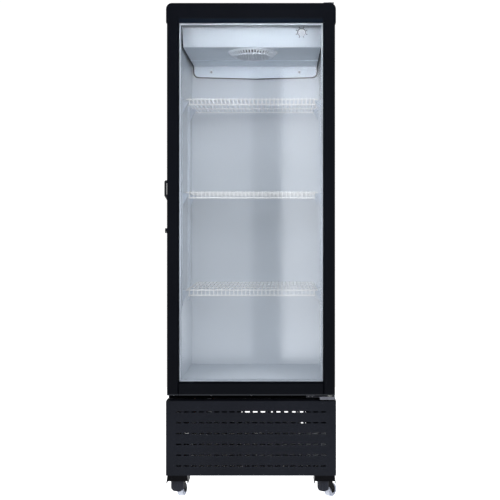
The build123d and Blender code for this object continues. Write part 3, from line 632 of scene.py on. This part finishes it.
def points_mesh(name: str, points: list[Vector], turns: list[Vector] | None = None) -> bpy.types.Mesh:
    """A mesh of loose points, each with an optional rotation.

    Args:
        name: The mesh's name.
        points: Where the points are.
        turns: An Euler rotation for each point, kept in the attribute turn.

    Returns:
        The mesh.
    """
    mesh = bpy.data.meshes.new(name)
    mesh.from_pydata(points, [], [])
    if turns:
        attribute = mesh.attributes.new("turn", "FLOAT_VECTOR", "POINT")
        for row, turn in zip(attribute.data, turns):
            row.vector = turn
    return mesh


def mesh_from(build: bmesh.types.BMesh, name: str, smooth: bool = False) -> bpy.types.Mesh:
    """Turn a bmesh into a mesh with its normals outward.

    Args:
        build: The bmesh, which is freed.
        name: The mesh's name.
        smooth: Whether its faces are smooth.

    Returns:
        The mesh.
    """
    bmesh.ops.recalc_face_normals(build, faces=build.faces)
    for face in build.faces:
        face.smooth = smooth
    mesh = bpy.data.meshes.new(name)
    build.to_mesh(mesh)
    build.free()
    if smooth:
        mesh.set_sharp_from_angle(angle=math.radians(35))
    return mesh


def place(mesh: bpy.types.Mesh, body: str, slot: str, finish: object | None, *nodes: str) -> bpy.types.Object:
    """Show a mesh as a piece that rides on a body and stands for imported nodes.

    Args:
        mesh: The piece's mesh, whose name becomes the piece's.
        body: The body it rides on.
        slot: The record's material slot.
        finish: Its finish, or None where the mesh has one already.
        nodes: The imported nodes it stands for.

    Returns:
        The piece.
    """
    piece = bpy.data.objects.new(mesh.name, mesh)
    bpy.context.scene.collection.objects.link(piece)
    return settle(piece, body, slot, finish, *nodes)


def settle(piece: bpy.types.Object, body: str, slot: str, finish: object | None,
           *nodes: str) -> bpy.types.Object:
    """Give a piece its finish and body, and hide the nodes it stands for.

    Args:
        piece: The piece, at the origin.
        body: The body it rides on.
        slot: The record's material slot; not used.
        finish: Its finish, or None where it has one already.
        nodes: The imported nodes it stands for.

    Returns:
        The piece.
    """
    if finish is not None:
        piece.data.materials.clear()
        piece.data.materials.append(BOOK.material(finish))
    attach(piece, body)
    if nodes:
        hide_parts(*nodes)
    LOG.info("piece %s on %s", piece.name, body)
    return piece


def path_mesh(name: str, *paths: list[Vector]) -> bpy.types.Mesh:
    """A mesh of open paths, each a run of joined edges.

    Args:
        name: The mesh's name.
        paths: The points of each path in order.

    Returns:
        The mesh.
    """
    points, edges = [], []
    for path in paths:
        first = len(points)
        points.extend(path)
        edges.extend((index, index + 1) for index in range(first, len(points) - 1))
    mesh = bpy.data.meshes.new(name)
    mesh.from_pydata(points, edges, [])
    return mesh


def joined(name: str, *pieces: bpy.types.Object) -> bpy.types.Mesh:
    """One mesh from several pieces that share a finish.

    Args:
        name: The mesh's name.
        pieces: The pieces, which are removed.

    Returns:
        The joined mesh.
    """
    build = bmesh.new()
    for piece in pieces:
        build.from_mesh(piece.data)
    mesh = bpy.data.meshes.new(name)
    build.to_mesh(mesh)
    build.free()
    mesh.materials.append(pieces[0].data.materials[0])
    for piece in pieces:
        bpy.data.objects.remove(piece)
    return mesh


@dataclass
class Sweep:
    """A bar of round or square section along every path of a seed, with bent corners and closed ends."""

    name: str
    finish: object
    radius: float = 0.0
    section: tuple[float, float] = (0.0, 0.0)
    bend: float = 0.0
    sides: int = 10
    count: int = 1
    pitch: float = 0.0

    def run(self, *paths: list[Vector]) -> bpy.types.Object:
        """Sweep the section along the paths and repeat the result along X.

        Args:
            paths: The points of each path in order.

        Returns:
            The piece.
        """
        growth = Growth(self.name, Radius=self.radius, Width=self.section[0], Height=self.section[1],
                        Bend=self.bend, Sides=self.sides, Count=self.count, Pitch=self.pitch)
        curve = growth.node("GeometryNodeMeshToCurve", Mesh=growth.size("Geometry")).outputs["Curve"]
        if self.bend:
            fillet = growth.node("GeometryNodeFilletCurve", Curve=curve, Radius=growth.size("Bend"))
            fillet.mode = "POLY"
            fillet.inputs["Count"].default_value = 5
            fillet.inputs["Limit Radius"].default_value = True
            curve = fillet.outputs["Curve"]
        if self.radius:
            section = growth.node("GeometryNodeCurvePrimitiveCircle", Radius=growth.size("Radius"),
                                  Resolution=growth.size("Sides"))
        else:
            section = growth.node("GeometryNodeCurvePrimitiveQuadrilateral", Width=growth.size("Width"),
                                  Height=growth.size("Height"))
        bar = growth.node("GeometryNodeCurveToMesh", Curve=curve, Profile_Curve=section.outputs["Curve"])
        bar.inputs["Fill Caps"].default_value = True
        smooth = growth.node("GeometryNodeSetShadeSmooth", Geometry=bar.outputs["Mesh"])
        smooth.inputs["Shade Smooth"].default_value = bool(self.radius)
        step = growth.node("ShaderNodeCombineXYZ", X=growth.size("Pitch"))
        line = growth.node("GeometryNodeMeshLine", Count=growth.size("Count"), Offset=step.outputs["Vector"])
        spread = growth.node("GeometryNodeInstanceOnPoints", Points=line.outputs["Mesh"],
                             Instance=smooth.outputs["Geometry"])
        growth.close(spread.outputs["Instances"], self.finish)
        return growth.grow(path_mesh(self.name + "_paths", *paths), self.name)


def islands(node: str) -> list[tuple[Vector, Vector]]:
    """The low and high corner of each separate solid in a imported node.

    Args:
        node: The node's name.

    Returns:
        One pair of corners for each solid.
    """
    build = bmesh.new()
    build.from_mesh(frame["nodes"][node].data)
    bmesh.ops.remove_doubles(build, verts=build.verts, dist=1e-6)
    found = []
    left = set(build.verts)
    while left:
        stack = [left.pop()]
        group = []
        while stack:
            vertex = stack.pop()
            group.append(vertex.co.copy())
            for edge in vertex.link_edges:
                other = edge.other_vert(vertex)
                if other in left:
                    left.discard(other)
                    stack.append(other)
        low = Vector([min(point[axis] for point in group) for axis in range(3)])
        high = Vector([max(point[axis] for point in group) for axis in range(3)])
        found.append((low, high))
    build.free()
    return sorted(found, key=lambda corners: tuple(corners[0]))


def finned_coil(node: str, finish: object, body: str, slot: str) -> None:
    """Replace a packed coil by a stack of thin fins on a tube that runs to and fro.

    Args:
        node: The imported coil.
        finish: The coil's finish.
        body: The body it rides on.
        slot: The record's material slot.
    """
    low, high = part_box(node)
    margin, pitch, rows = 0.014, 0.0032, 6
    count = int((high.x - low.x - 2 * margin) / pitch)
    growth = Growth(node + "_fins", Thickness=0.0004, Depth=high.y - low.y, Height=high.z - low.z,
                    Count=count, Pitch=pitch)
    size = growth.node("ShaderNodeCombineXYZ", X=growth.size("Thickness"), Y=growth.size("Depth"),
                       Z=growth.size("Height"))
    fin = growth.node("GeometryNodeMeshCube", Size=size.outputs["Vector"])
    step = growth.node("ShaderNodeCombineXYZ", X=growth.size("Pitch"))
    line = growth.node("GeometryNodeMeshLine", Count=growth.size("Count"), Offset=step.outputs["Vector"])
    spread = growth.node("GeometryNodeInstanceOnPoints", Points=line.outputs["Mesh"],
                         Instance=fin.outputs["Mesh"])
    growth.close(spread.outputs["Instances"], finish)
    fins = growth.grow(points_mesh(node + "_seed", [Vector((0, 0, 0))]), node + "_fins")
    middle = (low + high) / 2
    fins.data.transform(Matrix.Translation((low.x + margin + pitch / 2, middle.y, middle.z)))
    row_pitch = (high.z - low.z) / rows
    path = []
    for row in range(rows):
        height = low.z + row_pitch * (row + 0.5)
        ends = (low.x + 0.0045, high.x - 0.0045)
        for x in ends if row % 2 == 0 else reversed(ends):
            path.append(Vector((x, middle.y, height)))
    tube = Sweep(node + "_tube", finish, radius=0.0042, bend=row_pitch * 0.45, sides=10).run(path)
    place(joined(node + "_stack", fins, tube), body, slot, None, node)


# ---------------------------------------------------------------------------------------------
# Sub-assemblies
# ---------------------------------------------------------------------------------------------


@dataclass
class Door:
    """The door: black frame, sealed double glass, gasket, pull strap and lock."""

    body: str = "door"
    gasket_width: float = 0.016
    bellows: tuple[tuple[float, float], ...] = (
        (0.0, 0.0), (1.0, 0.0), (1.0, 0.12), (0.82, 0.18), (0.96, 0.36), (0.82, 0.53), (0.9, 0.64),
        (0.9, 0.95), (0.87, 1.0), (0.13, 1.0), (0.1, 0.95), (0.1, 0.64), (0.18, 0.53), (0.04, 0.36),
        (0.18, 0.18), (0.0, 0.12),
    )

    def gasket(self) -> None:
        """Run the folded magnetic gasket round the door's back with mitred corners."""
        low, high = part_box("door_gasket")
        depth = high.y - low.y
        middle = (low.z + high.z) / 2
        half_x, half_z = high.x - self.gasket_width, high.z - middle - self.gasket_width
        build = bmesh.new()
        loops = []
        for side_x, side_z in ((-1, -1), (1, -1), (1, 1), (-1, 1)):
            loop = []
            for across, proud in self.bellows:
                reach = across * self.gasket_width
                spot = (side_x * (half_x + reach), low.y + proud * depth, middle + side_z * (half_z + reach))
                loop.append(build.verts.new(spot))
            loops.append(loop)
        count = len(self.bellows)
        for index in range(4):
            here, there = loops[index], loops[(index + 1) % 4]
            for step in range(count):
                after = (step + 1) % count
                build.faces.new((here[step], here[after], there[after], there[step]))
        place(mesh_from(build, "door_gasket_bellows"), self.body, "gasket_rubber", GASKET, "door_gasket")

    def dress(self) -> None:
        """Make the gasket and finish the door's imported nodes."""
        self.gasket()
        frame_nodes = ("door_left_stile", "door_right_stile", "door_bottom_rail", "door_top_cap")
        BOOK.dress(BLACK_FRAME, *frame_nodes)
        BOOK.dress(GLASS, "door_glass_panes")
        BOOK.dress(SPACER, "glass_spacer")
        BOOK.dress(BLACK_HANDLE, "side_pull_handle", "lock_barrel")
        BOOK.dress(LOCK_STEEL, "lock_plug_cam")
        BOOK.dress(STEEL, "handle_studs")
        BOOK.dress(NYLON_BUSH, "hinge_bushes")


@dataclass
class Cabinet:
    """The foamed cabinet: outer sheets, liner, face frame and hinge brackets."""

    body: str = "cabinet"

    def dress(self) -> None:
        """Finish the cabinet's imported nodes."""
        BOOK.dress(BLACK_SHELL, "outer_shell", "rear_panel", "rear_grille_panel")
        BOOK.dress(BEAM, "lower_front_beam")
        BOOK.dress(BREAKER, "front_breaker_frame")
        BOOK.dress(LINER, "inner_liner")
        BOOK.dress(FOAM, "insulation_foam")
        BOOK.dress(ZINC, "hinge_brackets")
        BOOK.dress(STEEL, "hinge_pins")
        BOOK.dress(LENS, "led_light_strip")
        BOOK.dress(PLINTH, "front_grille_panel")
        BOOK.dress(BREAKER, "cord_gland")


@dataclass
class CoolingUnit:
    """The evaporator cover under the ceiling with its fan, guard and thermostat."""

    body: str = "cabinet"
    # width of the strip of painted shade round the cover
    shade_width: float = 0.005
    panel_top: float = 1.770
    sheet_front: float = -0.186
    shroud_radius: float = 0.0875
    shroud_height: float = 0.019
    ray_count: int = 8
    ray: tuple[float, float] = (0.0175, 0.0235)
    knurls: int = 24
    knob_radius: float = 0.0135
    knob_height: float = 0.0085

    def lay_shade_strip(self) -> None:
        """Lay a dark strip of painted shade round the cover: down both sides in the gap to the liner and along
        under the lip at the back.
        """
        low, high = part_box("evaporator_cover")
        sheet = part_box("fan_guard")[1].z
        side = high.x + self.shade_width * 0.4
        front = [Vector((0, low.y + 0.002, high.z - 0.003)), Vector((0, low.y + 0.002, self.panel_top)),
                 Vector((0, self.sheet_front, sheet + 0.004)), Vector((0, high.y, sheet - 0.001)),
                 Vector((0, high.y, low.z + 0.005))]
        left = [Vector((-side, point.y, point.z)) for point in front]
        right = [Vector((side, point.y, point.z)) for point in reversed(front)]
        # Painted shade: the strip's run along under the lip at the back.
        middle = [Vector((0.0, high.y, low.z - 0.0015))]
        strip = Sweep("cover_seam", COVER_SHADE_STRIP, section=(self.shade_width, self.shade_width), bend=0.02)
        piece = strip.run(left + middle + right)
        settle(piece, self.body, "gasket_rubber", None)

    def shroud(self) -> None:
        """Stand a black ring round the fan behind its guard."""
        low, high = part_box("fan_guard")
        middle = (low + high) / 2
        rings = ((self.shroud_radius, 0.0), (self.shroud_radius, self.shroud_height),
                 (self.shroud_radius - 0.0015, self.shroud_height), (self.shroud_radius - 0.0015, 0.0015),
                 (self.shroud_radius - 0.003, 0.0))
        mesh = turned("evaporator_fan_shroud", rings, 64)
        mesh.transform(Matrix.Translation((middle.x, middle.y, high.z + 0.0032)))
        place(mesh, self.body, "fan_black", FAN_WELL)

    def dial(self) -> None:
        """Make the thermostat's knurled knob and the printed sun scale on the panel behind it."""
        hinge = joint("thermostat_turn")
        out = Vector(hinge["axis"]).normalized()
        if out.y > 0:
            out = -out
        origin = Vector(hinge["pos_m"])
        turn = out.to_track_quat("Z", "Y").to_matrix().to_4x4()
        seat = Matrix.Translation(panel_point(origin, out)) @ turn
        outline = []
        for step in range(self.knurls * 4):
            wave = math.cos(2 * math.pi * step / 4)
            angle = 2 * math.pi * step / (self.knurls * 4)
            outline.append((angle, self.knob_radius + 0.0004 * wave))
        mesh = knurled("thermostat_dial", outline, self.knob_height)
        mesh.transform(seat)
        place(mesh, "thermostat_dial", "white_plastic", DIAL, "thermostat_knob")
        inner, outer = self.ray
        rays = []
        for step in range(self.ray_count):
            angle = 2 * math.pi * (step + 0.5) / self.ray_count
            way = Vector((math.cos(angle), math.sin(angle), 0.0))
            proud = Vector((0, 0, 0.0004))
            rays.append([seat @ (way * inner + proud), seat @ (way * outer + proud)])
        ring = []
        for step in range(41):
            angle = 2 * math.pi * step / 40
            ring.append(seat @ Vector((self.knob_radius * 1.1 * math.cos(angle),
                                       self.knob_radius * 1.1 * math.sin(angle), 0.0003)))
        scale = Sweep("thermostat_scale", PRINT, radius=0.0013, sides=6).run(*rays, ring)
        settle(scale, self.body, "fan_black", None)

    def dress(self) -> None:
        """Finish the cooling unit and add its strip of painted shade, fan ring and dial."""
        self.lay_shade_strip()
        self.shroud()
        self.dial()
        finned_coil("evaporator_coil", ALUMINIUM, self.body, "coil_aluminium")
        BOOK.dress(COVER, "evaporator_cover")
        BOOK.dress(GUARD, "fan_guard")
        BOOK.dress(WHITE_PLASTIC, "thermostat_body")
        BOOK.dress(FAN_BLACK, "evaporator_fan_blade", "condenser_fan_blade")
        BOOK.dress(MOTOR, "evaporator_fan_motor", "condenser_fan_motor")


@dataclass
class Shelving:
    """White wire shelves on wedge clips in slotted standards."""

    levels: tuple[str, ...] = ("lower", "middle", "upper")
    rod_radius: float = 0.002
    wire_radius: float = 0.0025
    rod_count: int = 32
    rod_span: float = 0.471
    lip_drop: float = 0.027
    lip_wire_up: float = 0.003
    weld_bite: float = 0.0004
    cross_steps: tuple[float, ...] = (0.0041, 0.145, 0.285)

    def shelf(self, level: str) -> None:
        """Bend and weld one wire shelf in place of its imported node.

        Args:
            level: The shelf's name.
        """
        low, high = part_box(f"{level}_shelf")
        top = high.z - self.rod_radius
        front, back = low.y + self.rod_radius, high.y
        half = high.x - self.wire_radius
        left = -self.rod_span / 2
        rod_path = [Vector((left, back, top)), Vector((left, front, top)),
                    Vector((left, front, top - self.lip_drop))]
        rods = Sweep(f"{level}_rods", WHITE_WIRE, radius=self.rod_radius, bend=0.0035, sides=8,
                     count=self.rod_count, pitch=self.rod_span / (self.rod_count - 1)).run(rod_path)
        reach = self.rod_radius + self.wire_radius - self.weld_bite
        wires = []
        for y in (*(front + step for step in self.cross_steps), back - 0.005):
            wires.append([Vector((-half, y, top - reach)), Vector((half, y, top - reach))])
        for side in (-half, half):
            ends = (front + 0.0025, back - 0.0025)
            wires.append([Vector((side, y, top - reach)) for y in ends])
        lip_half = self.rod_span / 2 + 0.004
        lip_z = top - self.lip_drop + self.lip_wire_up
        wires.append([Vector((-lip_half, front + reach, lip_z)), Vector((lip_half, front + reach, lip_z))])
        frame_wires = Sweep(f"{level}_wires", WHITE_WIRE, radius=self.wire_radius, sides=12).run(*wires)
        mesh = joined(f"{level}_wire_shelf", rods, frame_wires)
        place(mesh, f"{level}_shelf", "shelf_white", None, f"{level}_shelf")

    def dress(self) -> None:
        """Make the shelves and finish the standards and clips."""
        for level in self.levels:
            self.shelf(level)
        BOOK.dress(STANDARD, "shelf_standards")
        BOOK.dress(CLIP_WHITE, "shelf_clips")


@dataclass
class MachineBay:
    """What works behind the plinth's grille."""

    body: str = "cabinet"

    def dress(self) -> None:
        """Make the condenser's fins and finish the machine compartment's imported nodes."""
        BOOK.dress(GALVANISED, "base_pan", "condenser_fan_shroud")
        BOOK.dress(POT_BLACK, "compressor")
        BOOK.dress(GASKET, "compressor_mounts")
        finned_coil("condenser_coil", COIL_BLACK, self.body, "coil_black")
        BOOK.dress(COPPER, "refrigerant_lines", "filter_drier")
        BOOK.dress(WHITE_PLASTIC, "drain_tube", "power_box", "evaporation_tray")


@dataclass
class Casters:
    """Four swivel casters; the front two have toe brakes."""

    corners: tuple[str, ...] = ("front_left", "front_right", "rear_left", "rear_right")
    braked: tuple[str, ...] = ("front_left", "front_right")
    wheel_radius: float = 0.02535
    half_width: float = 0.011
    dish: float = 0.0042
    spokes: int = 9

    def wheel(self, corner: str) -> None:
        """Mould one wheel with crowned tread, dished sides and spokes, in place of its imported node.

        Args:
            corner: The caster's name.
        """
        spin = joint(f"wheel_{corner}_spin")
        radius, half = self.wheel_radius, self.half_width
        side = [(0.0041, half + 0.001), (0.0078, half + 0.001), (0.0088, half - self.dish),
                (radius - 0.0062, half - self.dish), (radius - 0.0048, half - 0.0004),
                (radius - 0.0026, half), (radius - 0.0009, half - 0.0014), (radius - 0.0001, half - 0.004)]
        outline = side + [(across, -height) for across, height in reversed(side)]
        mesh = turned(f"caster_tyre_{corner}", tuple(outline), 56)
        seat = Matrix.Translation(Vector(spin["pos_m"]))
        turn = Vector(spin["axis"]).to_track_quat("Z", "Y").to_matrix().to_4x4()
        mesh.transform(seat @ turn)
        mesh.materials.append(BOOK.material(NYLON))
        tyre = bpy.data.objects.new(mesh.name, mesh)
        bars = []
        for index in range(self.spokes):
            angle = 2 * math.pi * index / self.spokes
            way = Vector((math.cos(angle), math.sin(angle), 0.0))
            for face in (-1, 1):
                height = Vector((0.0, 0.0, face * (half - self.dish + 0.0009)))
                reaches = (0.0082, radius - 0.0056)
                bars.append([seat @ turn @ (way * reach + height) for reach in reaches])
        ribs = Sweep(f"caster_spokes_{corner}", NYLON, radius=0.0012, sides=8).run(*bars)
        whole = joined(f"caster_wheel_moulded_{corner}", tyre, ribs)
        place(whole, f"wheel_{corner}", "wheel_nylon", None, f"caster_wheel_{corner}")

    def dress(self) -> None:
        """Make the wheels and finish the casters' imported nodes."""
        for corner in self.corners:
            self.wheel(corner)
        BOOK.dress(CASTER_BLACK, "caster_brackets", *(f"caster_fork_{corner}" for corner in self.corners))
        BOOK.dress(PEDAL, *(f"brake_pedal_{corner}" for corner in self.braked))


@dataclass
class ScrewHeads:
    """Pan heads with a cross recess, one on each packed screw."""

    body: str = "cabinet"
    node: str = "cabinet_screws"
    sides: int = 20
    recess: float = 0.5

    def head(self) -> bpy.types.Object:
        """One head of radius 1 and height 1 on +Z, sunk at its cross.

        Returns:
            A hidden object to repeat.
        """
        build = bmesh.new()
        rings = ((1.0, 0.0), (1.0, 0.35), (0.93, 0.62), (0.78, 0.85), (0.6, 0.97))
        loops = []
        for radius, height in rings:
            loop = []
            for step in range(self.sides):
                turn = 2 * math.pi * step / self.sides
                loop.append(build.verts.new((radius * math.cos(turn), radius * math.sin(turn), height)))
            loops.append(loop)
        for lower, upper in zip(loops, loops[1:]):
            for step in range(self.sides):
                after = (step + 1) % self.sides
                build.faces.new((lower[step], lower[after], upper[after], upper[step]))
        build.faces.new(list(reversed(loops[0])))
        crown = []
        for step in range(self.sides):
            arm = abs(math.cos(2 * 2 * math.pi * step / self.sides)) > 0.9
            radius = self.recess if arm else self.recess * 0.3
            turn = 2 * math.pi * step / self.sides
            crown.append((radius * math.cos(turn), radius * math.sin(turn)))
        rim = [build.verts.new((x, y, 1.0)) for x, y in crown]
        floor = [build.verts.new((x * 0.8, y * 0.8, 0.45)) for x, y in crown]
        for step in range(self.sides):
            after = (step + 1) % self.sides
            build.faces.new((loops[-1][step], loops[-1][after], rim[after], rim[step]))
            build.faces.new((rim[step], rim[after], floor[after], floor[step]))
        build.faces.new(floor)
        piece = bpy.data.objects.new("screw_head_pattern", mesh_from(build, "screw_head_pattern"))
        return piece

    def build(self) -> None:
        """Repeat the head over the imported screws."""
        points, turns, scales = [], [], []
        for low, high in islands(self.node):
            size, middle = high - low, (low + high) / 2
            axis = min(range(3), key=lambda index: size[index])
            out = Vector((0.0, 0.0, 0.0))
            out[axis] = 1.0 if axis == 2 or (axis == 0 and middle.x > 0) else -1.0
            points.append(middle - out * size[axis] / 2)
            turns.append(Vector(out.to_track_quat("Z", "Y").to_euler()))
            wide = max(size) / 2
            scales.append(Vector((wide, wide, size[axis])))
        seed = points_mesh("screw_seats", points, turns)
        attribute = seed.attributes.new("stretch", "FLOAT_VECTOR", "POINT")
        for row, stretch in zip(attribute.data, scales):
            row.vector = stretch
        growth = Growth("screw_heads", Size=1.0)
        head = growth.node("GeometryNodeObjectInfo")
        head.inputs["Object"].default_value = self.head()
        turn = growth.node("GeometryNodeInputNamedAttribute", Name="turn")
        turn.data_type = "FLOAT_VECTOR"
        stretch = growth.node("GeometryNodeInputNamedAttribute", Name="stretch")
        stretch.data_type = "FLOAT_VECTOR"
        sized = growth.node("ShaderNodeVectorMath")
        sized.operation = "SCALE"
        growth.tree.links.new(stretch.outputs["Attribute"], sized.inputs[0])
        growth.tree.links.new(growth.size("Size"), sized.inputs["Scale"])
        spread = growth.node("GeometryNodeInstanceOnPoints", Points=growth.size("Geometry"),
                             Instance=head.outputs["Geometry"], Rotation=turn.outputs["Attribute"],
                             Scale=sized.outputs["Vector"])
        growth.close(spread.outputs["Instances"], STEEL)
        piece = growth.grow(seed, "screw_heads")
        settle(piece, self.body, "fastener_steel", None, self.node)


# ---------------------------------------------------------------------------------------------
# Studio
# ---------------------------------------------------------------------------------------------


@dataclass
class SoftBox:
    """One plain rectangular lamp; a spread below a half turn narrows its beam."""

    name: str
    centre: Colour
    size: tuple[float, float]
    radiance: float
    target: Colour
    in_gloss: bool = True
    spread: float = math.pi

    def build(self) -> None:
        """Hang the lamp and turn it to its target."""
        data = bpy.data.lights.new(self.name, "AREA")
        data.shape = "RECTANGLE"
        data.size, data.size_y = self.size
        data.energy = self.radiance * math.pi * self.size[0] * self.size[1]
        data.spread = self.spread
        lamp = bpy.data.objects.new(self.name, data)
        lamp.location = self.centre
        away = Vector(self.target) - Vector(self.centre)
        lamp.rotation_euler = away.to_track_quat("-Z", "Z").to_euler()
        lamp.visible_camera = False
        lamp.visible_glossy = self.in_gloss
        bpy.context.scene.collection.objects.link(lamp)
        LOG.info("lamp %s", self.name)


@dataclass
class Studio:
    """Pale floor, white surround, soft lamps and the camera."""

    floor_half: float = 2.0
    camera_right: float = 0.118
    camera_away: float = 3.3
    camera_height: float = 1.033
    lens: float = 64.5
    shift: tuple[float, float] = (-0.066, -0.056)
    lamps: list[SoftBox] = field(default_factory=list)

    def floor(self) -> None:
        """Lay the pale floor under the wheels."""
        build = bmesh.new()
        bmesh.ops.create_grid(build, x_segments=8, y_segments=8, size=self.floor_half)
        mesh = mesh_from(build, "studio_floor")
        if mesh.polygons[0].normal.z < 0:
            mesh.flip_normals()
        work = Shading("pale_floor")
        work.link(work.tones(work.noise(2.0), (0.86, 0.86, 0.87), (0.9, 0.9, 0.9)), "Base Color")
        work.shader.inputs["Emission Color"].default_value = (1.0, 1.0, 1.0, 1.0)
        work.shader.inputs["Emission Strength"].default_value = 1.0
        work.set(Roughness=0.9)
        work.shader.inputs["Specular IOR Level"].default_value = 0.0
        floor = bpy.data.objects.new("studio_floor", mesh)
        floor.location.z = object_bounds()[0].z - 0.0005
        floor.data.materials.append(work.material)
        bpy.context.scene.collection.objects.link(floor)
        floor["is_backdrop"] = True

    def surround(self) -> None:
        """A white backdrop to the camera that gives the object only a dim fill."""
        world = bpy.data.worlds.new("studio_surround")
        bpy.context.scene.world = world
        world.use_nodes = True
        nodes, links = world.node_tree.nodes, world.node_tree.links
        background = nodes["Background"]
        background.inputs["Color"].default_value = (0.93, 0.96, 1.0, 1.0)
        background.inputs["Strength"].default_value = 0.16
        white = nodes.new("ShaderNodeBackground")
        white.inputs["Strength"].default_value = 1.05
        white.inputs["Color"].default_value = (1.0, 1.0, 1.0, 1.0)
        path = nodes.new("ShaderNodeLightPath")
        mixed = nodes.new("ShaderNodeMixShader")
        links.new(path.outputs["Is Camera Ray"], mixed.inputs["Fac"])
        links.new(background.outputs["Background"], mixed.inputs[1])
        links.new(white.outputs["Background"], mixed.inputs[2])
        links.new(mixed.outputs["Shader"], nodes["World Output"].inputs["Surface"])

    def camera(self) -> None:
        """Stand the camera level in front of the door, a little to its right."""
        low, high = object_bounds()
        data = bpy.data.cameras.new("front_camera")
        data.sensor_width = 36.0
        data.lens = self.lens
        data.shift_x, data.shift_y = self.shift
        data.clip_end = 100.0
        eye = bpy.data.objects.new("front_camera", data)
        eye.location = (self.camera_right, low.y - self.camera_away, self.camera_height)
        eye.rotation_euler = (math.pi / 2, 0.0, 0.0)
        bpy.context.scene.collection.objects.link(eye)
        bpy.context.scene.camera = eye

    def build(self) -> None:
        """Set up the whole studio."""
        self.floor()
        self.surround()
        self.camera()
        for lamp in self.lamps:
            lamp.build()
        bpy.context.scene.view_settings.view_transform = "Standard"


def studio_lamps() -> list[SoftBox]:
    """The lamps: soft boxes round the object, two aimed at the evaporator cover and one low in the cabinet."""
    return [
        SoftBox("left_box", (-0.42, -3.6, 1.09), (0.62, 2.14), 0.85, (-0.42, 0.0, 1.09)),
        SoftBox("right_box", (0.29, -3.6, 1.09), (0.36, 2.14), 2.0, (0.29, 0.0, 1.09)),
        SoftBox("left_front", (-1.9, -3.3, 1.95), (1.5, 0.8), 16.5, (0.0, 0.0, 1.1), False),
        SoftBox("right_front", (1.9, -3.3, 1.95), (1.5, 0.8), 16.5, (0.0, 0.0, 1.1), False),
        SoftBox("cover_front", (0.05, -2.6, 1.5), (0.5, 0.3), 1.2, (0.05, -0.2, 1.75), False, 0.35),
        SoftBox("front_high", (0.0, -3.5, 3.4), (3.0, 1.0), 5.0, (0.0, 0.0, 1.0), False),
        SoftBox("low_fill", (0.0, -0.17, 0.69), (0.44, 0.12), 3.0, (0.0, 0.05, 0.37), False),
        SoftBox("cover_glow", (-0.03, -1.3, 0.34), (0.52, 0.5), 3.2, (-0.03, -0.2, 1.74), True, 1.1),
        SoftBox("left_side", (-3.4, 0.6, 1.4), (1.6, 2.4), 1.6, (0.0, 0.0, 1.0)),
        SoftBox("right_side", (3.4, 0.6, 1.4), (1.6, 2.4), 1.6, (0.0, 0.0, 1.0)),
        SoftBox("back_box", (0.0, 3.4, 2.2), (2.4, 2.0), 1.5, (0.0, 0.0, 1.0)),
    ]


def corners(box: tuple[Vector, Vector]) -> list[list[float]]:
    """A pair of corners as plain lists."""
    return [[float(value) for value in corner] for corner in box]


def main() -> None:
    """Build and dress every sub-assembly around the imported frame, then the studio."""
    logging.basicConfig(level=logging.INFO, format="%(name)s: %(message)s")
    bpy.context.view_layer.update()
    for assembly in (Cabinet(), Door(), CoolingUnit(), Shelving(), MachineBay(), Casters()):
        assembly.dress()
    ScrewHeads().build()
    Studio(lamps=studio_lamps()).build()


if __name__ == "__main__":
    main()
